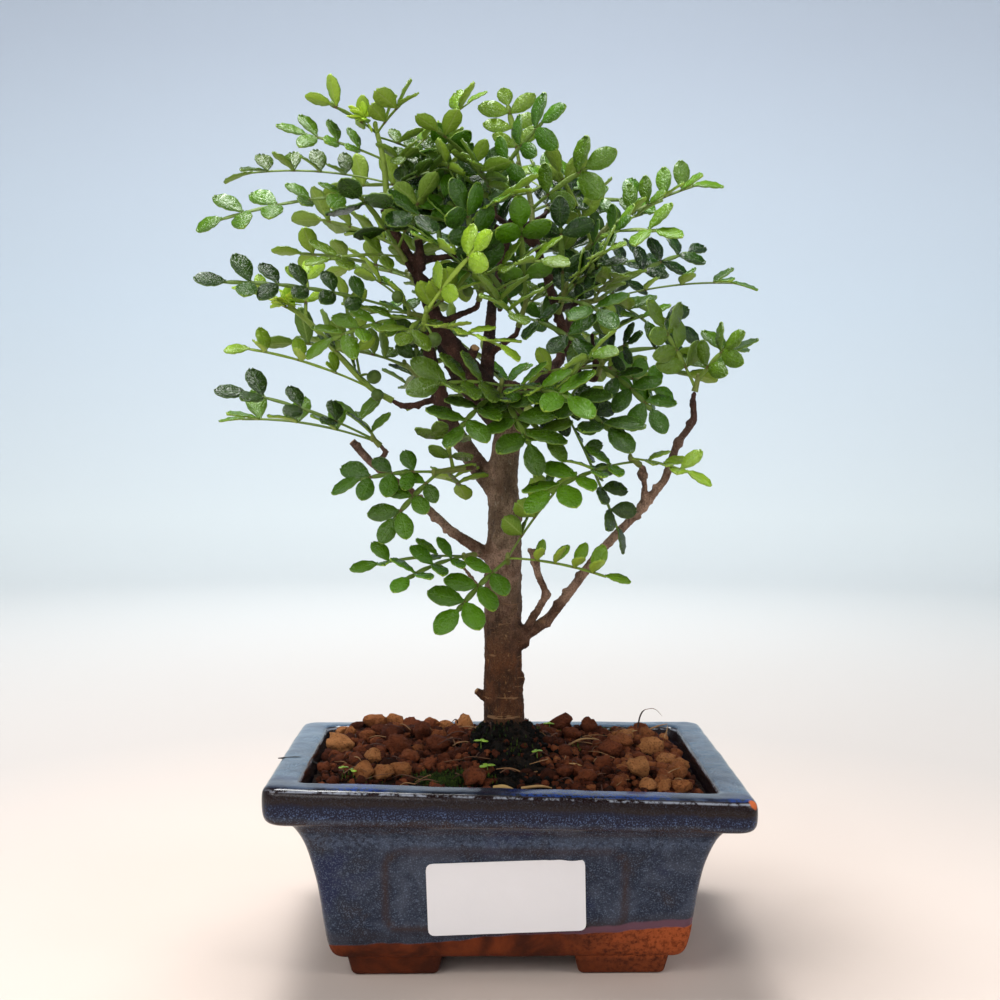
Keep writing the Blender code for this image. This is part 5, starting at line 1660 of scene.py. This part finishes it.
class Spray:
    """The mesh of one spray, with the values that its finish reads."""

    def __init__(self):
        self.points = []
        self.faces = []
        self.values = {name: [] for name in ("along", "across", "upper", "tint", "youth", "part")}

    def add(self, points, faces, along, across, upper, tint, youth, part):
        first = len(self.points)
        count = len(points)
        self.points += [Vector([min(max(p[k], BOX_LOW[k]), BOX_HIGH[k]) for k in range(3)]) for p in points]
        self.faces += [tuple(first + i for i in face) for face in faces]
        for name, value in zip(self.values, (along, across, upper, tint, youth, part)):
            self.values[name] += value if isinstance(value, list) else [value] * count

    def leaflet(self, root, direction, forward, normal, reach, wide, fold, tint, youth):
        """A copy of the leaflet, lifted, rolled and turned a little in its own way. It is cut short
        where it would reach out of the box of the solids."""
        roll = Matrix.Rotation(math.radians(draw.gauss(0, 10)), 3, direction)
        lift = Matrix.Rotation(math.radians(draw.gauss(fold, 7)), 3, direction.cross(normal))
        yaw = Matrix.Rotation(math.radians(draw.gauss(0, 5)), 3, normal)
        turn = yaw @ lift @ roll
        x_axis, y_axis, z_axis = turn @ direction, turn @ forward, turn @ normal
        curl = draw.gauss(0.06, 0.06)
        far = root + x_axis * reach
        for k in range(3):
            room = min(max(far[k], BOX_LOW[k] + 0.6), BOX_HIGH[k] - 0.6) - root[k]
            if abs(far[k] - root[k]) > abs(room):
                reach *= abs(room / (far[k] - root[k]))
                far = root + x_axis * reach
        points = []
        for p in leaf_points:
            sink = p.z - curl * p.x * p.x
            points.append(root + x_axis * (p.x * reach) + y_axis * (p.y * wide) + z_axis * (sink * reach))
        self.add(points, leaf_faces, leaf_along, leaf_across, leaf_upper, tint, youth, 0.0)

    def rib(self, last, frame_at, nodes, length, tint, youth):
        """The stalk and winged rib as one flattened bar, wide between the nodes."""
        points, faces, near_node = [], [], []
        turns = [2 * math.pi * turn / RIB_SIDES for turn in range(RIB_SIDES)]
        for station in range(RIB_STATIONS):
            share = last * station / (RIB_STATIONS - 1)
            point, _, normal, side = frame_at(share)
            if share < nodes[0]:
                half = 0.50 + 0.25 * math.exp(-share * length / 1.2)
            else:
                before = max((n for n in nodes if n <= share), default=0)
                after = min((n for n in nodes if n > share), default=last)
                inside = (share - before) / max(after - before, 1e-6)
                half = 0.46 + 0.42 * math.sin(math.pi * min(inside, 1.0) ** 1.2)
            node = max(math.exp(-((share - n) * length / 0.8) ** 2) for n in nodes)
            for angle in turns:
                up = 0.26 * math.sin(angle) * (1 + 0.25 * node)
                points.append(point + side * (half * math.cos(angle)) + normal * (up - 0.12))
                near_node.append(node)
        for station in range(RIB_STATIONS - 1):
            for turn in range(RIB_SIDES):
                a, b = station * RIB_SIDES + turn, station * RIB_SIDES + (turn + 1) % RIB_SIDES
                faces.append((b, a, a + RIB_SIDES, b + RIB_SIDES))
        faces.append(tuple(range(RIB_SIDES)))
        faces.append(tuple(reversed(range(len(points) - RIB_SIDES, len(points)))))
        self.add(points, faces, near_node, 0.0, 1.0, tint, youth, 1.0)

    def frond(self, base, tip, pairs, lean, youth, size_share, fold, seen):
        """One compound leaf on the line of its solid. fold and seen, its leaflets' fold and its number
        of pairs, are drawn where they are None."""
        length, scale, last, coarse, frame_at = frond_line(base, tip, pairs, lean)
        most = 1 + int((last * 0.9 - FIRST_PAIR) * length / (FINE_PITCH * scale))
        fine = seen or max(coarse, min(coarse + (draw.random() < 0.6), most))
        # Low leaves are painted paler: painted light
        tint = min(draw.random() + (LOW_LEAVES_PAINTED_LIGHTER if base.z < LOW_LEAVES_Z else 0.0), 1.0)
        fold = fold or draw.uniform(*(FLAT_FOLD if abs(lean) <= 30 else LEANING_FOLD))
        full = draw.uniform(0.93, 1.15) * size_share * (0.55 + 0.45 * scale) / scale
        slim = draw.uniform(0.88, 1.12)
        end = last * (0.88 if fine > 1 else 0.6)
        nodes = [FIRST_PAIR + (end - FIRST_PAIR) * k / max(fine - 1, 1) for k in range(fine)]
        if fine == 1:
            nodes = [0.5 * last + 0.1]
        self.rib(last + 0.01, frame_at, nodes, length, tint, youth)
        slant = math.radians(LEAF_FORWARD)
        for k, node in enumerate(nodes):
            point, along, normal, side = frame_at(node)
            size = 0.80 + 0.24 * (k + 1) / fine
            for sign in (1, -1):
                out = side * sign
                angle = slant + math.radians(draw.gauss(0, 4))
                direction = out * math.cos(angle) + along * math.sin(angle)
                forward = (along * math.cos(angle) - out * math.sin(angle)) * sign
                grow = size * scale * full * draw.uniform(0.93, 1.09)
                root = point + out * 0.35 + along * draw.uniform(-0.3, 0.3)
                reach = LEAF_LENGTH * grow
                wide = LEAF_WIDTH * grow / 2 * slim * draw.uniform(0.94, 1.06)
                own_tint = min(max(tint + draw.gauss(0, 0.12), 0), 1)
                self.leaflet(root, direction, forward, normal, reach, wide, fold, own_tint, youth)
        point, along, normal, side = frame_at(last)
        self.leaflet(point, along, -side, normal, LEAF_LENGTH * scale * full,
                     LEAF_WIDTH * scale / 2 * full * slim, 0, tint, youth)

    def sprout(self, middle):
        """A tuft of new leaflets that are still unfolding."""
        for _ in range(SPROUT_LEAFLETS):
            out = Vector((draw.gauss(0, 1), draw.gauss(0, 1), draw.gauss(0.7, 0.7))).normalized()
            side = out.cross(UP + out.orthogonal() * 0.01).normalized()
            reach = draw.uniform(2.6, 4.8)
            self.leaflet(middle + out * draw.uniform(0.2, 2.0), out, side, side.cross(out), reach,
                         reach * 0.32, 8, draw.random(), 1.5)

    def shoot(self, points, youth):
        radii = [0.95] + [0.8] * (len(points) - 2) + [0.62]
        made_points, made_faces = swept(points, radii, 8, steps=8)
        self.add(made_points, made_faces, 0.0, 0.0, 1.0, draw.random(), youth, 1.6)
        bud = Matrix.Translation(Vector(points[-1])) @ Matrix.Diagonal((0.68, 0.68, 1.1, 1))
        self.add([bud @ p for p in ball_points], ball_faces, 0.0, 0.0, 1.0, 0.4, youth, 1.6)

    def berry(self, shoot, x, y, z, radius):
        middle = Vector((x, y, z))
        root = min((shoot_point(shoot, k / 20) for k in range(6, 19)), key=lambda p: (p - middle).length)
        sag = root.lerp(middle, 0.5) + UP * 0.6
        made_points, made_faces = swept((root, sag, middle), (0.42, 0.36, 0.45), 6, steps=5)
        self.add(made_points, made_faces, 0.0, 0.0, 1.0, draw.random(), 0.3, 1.0)
        place = Matrix.Translation(middle) @ any_turn() @ Matrix.Diagonal((radius, radius, radius * 0.93, 1))
        self.add([place @ p for p in ball_points], ball_faces, 0.0, 0.0, 1.0, draw.random(), 0.0, 3.0)


bpy.ops.mesh.primitive_ico_sphere_add(subdivisions=3, radius=1)
ball = bpy.context.object
for vert in ball.data.vertices:
    groove = math.exp(-(abs(vert.co.x) / 0.12) ** 2) * 0.05 * (vert.co.z > -0.5)
    vert.co *= 1 - groove + 0.02 * noise.noise(vert.co * 4)
ball_points, ball_faces = shape_of(ball)

# Colours of the leaves, as a darker and a lighter one where they vary
DARK_TOP = ((0.0020, 0.017, 0.001), (0.082, 0.228, 0.003))
YOUNG_TOP = ((0.210, 0.380, 0.014), (0.400, 0.580, 0.036))
# Pale dots: the leaf's oil glands, and painted glints of specular speckle
TOP_DOT_AND_PAINTED_GLINT = (0.150, 0.260, 0.085)
TOP_VEIN = (0.120, 0.230, 0.020)
TOP_GLAND = (0.150, 0.270, 0.055)
# Undersides: their own yellow-green, painted brighter as painted light shining through the leaf
UNDERSIDE_AND_PAINTED_BACKLIGHT = ((0.058, 0.140, 0.005), (0.280, 0.430, 0.018))
YOUNG_UNDERSIDE_AND_PAINTED_BACKLIGHT = (0.400, 0.530, 0.060)
UNDER_VEIN = (0.300, 0.400, 0.090)
UNDER_GLAND = (0.060, 0.100, 0.015)
UNFOLDING = ((0.300, 0.520, 0.020), (0.600, 0.760, 0.050))
RIB_GREEN = ((0.110, 0.180, 0.018), (0.320, 0.440, 0.050))
RIB_RED = (0.105, 0.034, 0.016)
SHOOT_TONES = ((0.090, 0.075, 0.020), (0.240, 0.340, 0.040))
BERRY_TONES = ((0.030, 0.068, 0.008), (0.110, 0.175, 0.022))

leaf = Finish("leaf")
along, across = leaf.painted("along"), leaf.painted("across")
upper, youth = leaf.painted("upper"), leaf.painted("youth")
tint, part = leaf.painted("tint"), leaf.painted("part")
edge = abs(across)
mottle = leaf.clouds(420, 4, 0.6)
pits = leaf.clouds(1250, 3, 0.55)
midrib = edge.above(0.13, 0.03)
laterals = ((along * 8 - edge * 1.9) * 6.283).sine().above(0.72, 1.0) * edge.above(1.0, 0.6)
rim = (edge.above(0.84, 0.97) + along.above(0.94, 0.99)).clamped()
glands = rim * ((along * 56).sine() * 0.5 + 0.5)
dark_top = leaf.mix((tint * tint * 0.9 + mottle * 0.3 - 0.10).clamped(), *DARK_TOP)
top = leaf.layers(
    leaf.mix(youth.clamped(), dark_top, leaf.mix(mottle, *YOUNG_TOP)),
    # Oil gland dots with painted glints
    (leaf.cells(1500).above(0.32, 0.15) * 0.26, TOP_DOT_AND_PAINTED_GLINT),
    (midrib * 0.12 + laterals * 0.06, TOP_VEIN),
    (glands * 0.45, TOP_GLAND))
# Underside colour, with painted light shining through
below = leaf.layers(
    leaf.mix(tint, *UNDERSIDE_AND_PAINTED_BACKLIGHT),
    (youth.clamped(), YOUNG_UNDERSIDE_AND_PAINTED_BACKLIGHT),
    ((midrib + laterals * 0.4).clamped() * 0.6, UNDER_VEIN),
    (glands * 0.4, UNDER_GLAND))
rib_colour = leaf.layers(
    leaf.mix(youth.clamped(), *RIB_GREEN),
    (along.above(0.35, 0.9) * 0.8, RIB_RED))
leaf_colour = leaf.layers(
    leaf.mix(upper, below, top),
    (youth.above(1.2, 1.4), leaf.mix(tint, *UNFOLDING)),
    (part.above(0.4, 0.6), rib_colour),
    (part.above(1.2, 1.4), leaf.mix((youth * 0.8 + mottle * 0.3).clamped(), *SHOOT_TONES)),
    (part.above(2.2, 2.6), leaf.mix((mottle * 0.8 + tint * 0.3).clamped(), *BERRY_TONES)))
gloss = upper * part.above(0.6, 0.4)
leaf_normal = leaf.bump(pits * 1.1 + mottle * 0.2 - midrib * 0.14 - laterals * 0.10, 0.00050, 0.9)
leaf_material = leaf.surface(
    base_color=leaf_colour, roughness=0.58 - gloss * (0.44 - mottle * 0.20), normal=leaf_normal,
    specular_ior_level=0.44)

# Fronds that the solids leave out, because they would touch: how many more each shoot carries
MORE_FRONDS = {
    "top_left": 3, "top_arch": 3, "top_middle": 3, "left_upper": 3, "upper_middle": 2, "front_upper": 1,
    "centre": 1, "middle_right": 2, "top_centre": 2, "left_middle": 3, "front_middle": 2,
    "right_front": 2, "right_inner": 2, "right_middle": 2, "right_top": 2, "left_front_low": 1,
    "left_shoot": 2, "trunk_low": 1, "back_low_right": 2, "back_low_middle": 2, "back_low_left": 2,
    "back_right": 2, "back_middle": 2, "back_left": 2, "back_top_right": 2, "back_top_left": 2,
}
MORE_TRIES = 160
MORE_LENGTHS = (19, 31)
CROWN_MIDDLE = Vector((-6, 2, 162))
CROWN_REACH = Vector((52, 44, 68))
# The stems that show between the leaves from the front, as low x, high x, low z and high z
OPEN_VIEWS = ((-34, -17, 170, 203), (5, 21, 160, 201), (-8, 8, 80, 134), (20, 48, 84, 140))
OPEN_BEFORE_Y = 6
# Fronds as they are drawn keep this much room, less than the solids do
LEAF_ROOM = 0.05


def hides_stems(point):
    """Whether a point is before one of the open views."""
    if point.y >= OPEN_BEFORE_Y:
        return False
    return any(a < point.x < b and c < point.z < d for a, b, c, d in OPEN_VIEWS)


def more_fronds(name, shoot, blades):
    """Shorter fronds that fill the crown round the placed ones, each in free space."""
    found = []
    for _ in range(MORE_TRIES):
        if len(found) == MORE_FRONDS.get(name, 0):
            break
        share = draw.uniform(0.15, 0.95)
        base = shoot_point(shoot, share * LAST_FROND)
        away = base - CROWN_MIDDLE
        facing = Vector((draw.gauss(0, 1), draw.gauss(-0.3, 1), draw.gauss(0.15, 0.6)))
        facing += away.normalized() * 0.8
        tip = base + facing.normalized() * draw.uniform(*MORE_LENGTHS)
        off = tip - CROWN_MIDDLE
        if sum((off[k] / CROWN_REACH[k]) ** 2 for k in range(3)) > 1:
            continue
        if hides_stems(base.lerp(tip, 0.65)) or hides_stems(tip):
            continue
        lean = draw.choice((-20, 0, 15, 35, 50)) if tip.y < 10 else draw.choice((-40, -20, 0))
        pairs = draw.choice((2, 2, 3))
        test = frond_tree(base, tip, pairs, lean, LEAF_ROOM)
        if not any(test.overlap(other) for other in blades):
            found.append((base, tip, pairs, lean))
            blades.append(test)
    return found


# How young each frond is: 0 dark green, 1 bright green, and above 1 still unfolding
YOUNG_FRONDS = {
    "front_new": (1.1, 1.0), "trunk_low": (0.45, 0.05), "left_shoot": (0.75, 1.0, 1.0),
    "right_twig": (0.1, 0.9), "top_left": (0.1, 0.2, 0.15, 0.2, 0.3), "top_arch": (0.5, 0.1),
    "top_middle": (0.5, 0.2, 0.1), "right_tip": (0.3, 0.2, 0.1), "right_top": (0.2, 0.3, 0.1),
}
# By spray and number of the frond: how far it is rolled about its rib from its solid, how steeply its
# leaflets fold up, its pairs of leaflets, and the size of its leaflets, which may be a whole spray's
ROLLED = {
    ("trunk_low", 0): -52, ("right_front", 0): -46, ("top_arch", 0): 40, ("front_new", 1): -24,
    ("left_front_low", 2): 150, ("left_upper", 2): 110,
}
FOLDED = {("trunk_low", 0): 66, ("right_front", 0): 34, ("front_new", 0): 8, ("front_new", 1): 16}
PAIRS_SEEN = {("trunk_low", 0): 4, ("trunk_low", 1): 3}
SMALL_LEAVES = {
    ("trunk_low", 0): 0.80, ("right_front", 0): 0.85, "front_new": 0.84, "left_low": 0.78,
    "left_shoot": 0.85, "right_inner": 0.85,
}
# Tufts of new leaflets, and the sprays passed a young-leaf slot, which put_in_frame does not use
SPROUTS = {"top_left": (-38.6, -13, 226.5), "left_shoot": (-61, 2, 178.5)}
BRIGHT_SLOT = ("front_new", "left_shoot", "right_twig")
# Above this height fronds that lean between two angles often roll back, fewer of them in the middle
# of the crown, where most others stand steep and dark
CROWN_LOW = 160
CROWN_HALF = 24
ROLLED_LEANS = (20, 90)
ROLL_BACK = 55
BACK_SHARE = 0.42
MIDDLE_BACK_SHARE = 0.15
MIDDLE_STEEP_SHARE = 0.6
STEEP_LEAN = 62
# Youth of the other fronds, low down and high up
YOUTHS_LOW = (0.0, 0.03, 0.08, 0.2)
YOUTHS_HIGH = (0.02, 0.08, 0.25, 0.4)
HIGH_UP_Z = 172

draw = random.Random(31)
placed = place_fronds(sprays)
blades = [frond_tree(*frond, LEAF_ROOM) for fronds in placed.values() for frond in fronds]
blades += [solid for owner, solid in fixed_solids(sprays) if owner is None]
for name, (shoot, _) in sprays.items():
    spray = Spray()
    youths = YOUNG_FRONDS.get(name, ())
    spray.shoot(shoot, 0.9 if name in SPROUTS or name == "front_new" else 0.3)
    for k, (base, tip, pairs, lean) in enumerate(placed[name] + more_fronds(name, shoot, blades)):
        youth = draw.choice(YOUTHS_LOW if base.z < HIGH_UP_Z else YOUTHS_HIGH)
        lean += ROLLED.get((name, k), 0)
        if base.z > CROWN_LOW and name != "front_new":
            in_middle = abs(base.x - 4) < CROWN_HALF
            back_share = MIDDLE_BACK_SHARE if in_middle else BACK_SHARE
            if ROLLED_LEANS[0] < lean < ROLLED_LEANS[1] and draw.random() < back_share:
                lean -= ROLL_BACK
            elif in_middle and draw.random() < MIDDLE_STEEP_SHARE:
                lean, youth = max(lean, STEEP_LEAN), 0.0
        spray.frond(base, tip, pairs, lean, youths[k] if k < len(youths) else youth,
                    SMALL_LEAVES.get((name, k), SMALL_LEAVES.get(name, 1.0)), FOLDED.get((name, k)),
                    PAIRS_SEEN.get((name, k)))
    if name in SPROUTS:
        spray.sprout(Vector(SPROUTS[name]))
    for berry in BERRIES.get(name, ()):
        spray.berry(shoot, *berry)
    leaves = mesh_object("leaves_" + name, spray.points, spray.faces, **spray.values)
    put_in_frame(leaves, leaf_material, "spray_" + name, "young_leaf" if name in BRIGHT_SLOT else "leaf")

# Label
# A blank white sticky label with rounded corners, pressed on the front wall a little askew, its
# lower corners lifting slightly where the glaze is uneven.
LABEL_CENTRE = (-0.8, 22.6)
LABEL_SIZE = (41.0, 20.0)
LABEL_CORNER = 1.7
LABEL_TURN = math.radians(1.9)
LABEL_FILM = 0.16
LABEL_OFF_WALL = 0.62
LABEL_CURL = 0.14
# Two points of the wall behind it, as height and distance to the front
LABEL_LOW_WALL = (15.0, 33.6)
LABEL_HIGH_WALL = (30.0, 35.9)

bpy.ops.mesh.primitive_grid_add(x_subdivisions=40, y_subdivisions=20, size=1, location=(0, 0, 0))
label = bpy.context.object
edit_all()
bpy.ops.transform.resize(value=(*LABEL_SIZE, 1))
bpy.ops.object.mode_set(mode="OBJECT")
half_wide, half_tall = LABEL_SIZE[0] / 2 - LABEL_CORNER, LABEL_SIZE[1] / 2 - LABEL_CORNER
for vert in label.data.vertices:
    corner = Vector((max(abs(vert.co.x) - half_wide, 0), max(abs(vert.co.y) - half_tall, 0)))
    if corner.x > 0 and corner.y > 0:
        reach = max(corner.x, corner.y)
        corner = corner.normalized() * reach
        vert.co.x = math.copysign(half_wide + corner.x, vert.co.x)
        vert.co.y = math.copysign(half_tall + corner.y, vert.co.y)
    curl = (abs(vert.co.x) / (LABEL_SIZE[0] / 2)) ** 8 * LABEL_CURL * (0.4 - vert.co.y / LABEL_SIZE[1])
    vert.co.z = curl + 0.07 * noise.noise(vert.co * 0.22)
wall_rise, wall_run = (high - low for low, high in zip(LABEL_LOW_WALL, LABEL_HIGH_WALL))
slope = math.atan2(wall_run, wall_rise)
wall_y = LABEL_LOW_WALL[1] + wall_run * (LABEL_CENTRE[1] - LABEL_LOW_WALL[0]) / wall_rise
stand = Matrix.Rotation(math.radians(90) + slope, 4, "X") @ Matrix.Rotation(LABEL_TURN, 4, "Z")
label.data.transform(Matrix.Translation((0, 0, LABEL_OFF_WALL)))
label.data.transform(Matrix.Translation((LABEL_CENTRE[0], -wall_y, LABEL_CENTRE[1])) @ stand)
apply_modifier(label, "SOLIDIFY", thickness=LABEL_FILM, offset=-1)
shade_by_angle(label, 40)
film = Finish("white_film")
weave = film.clouds(700, 3)
smudge = film.clouds(60, 3)
put_in_frame(label, film.surface(
    base_color=film.mix(smudge, (0.80, 0.785, 0.80), (0.86, 0.84, 0.85)),
    roughness=weave * 0.15 + 0.28, normal=film.bump(weave, 0.00006, 0.5)), "label", "label", "blank_label")
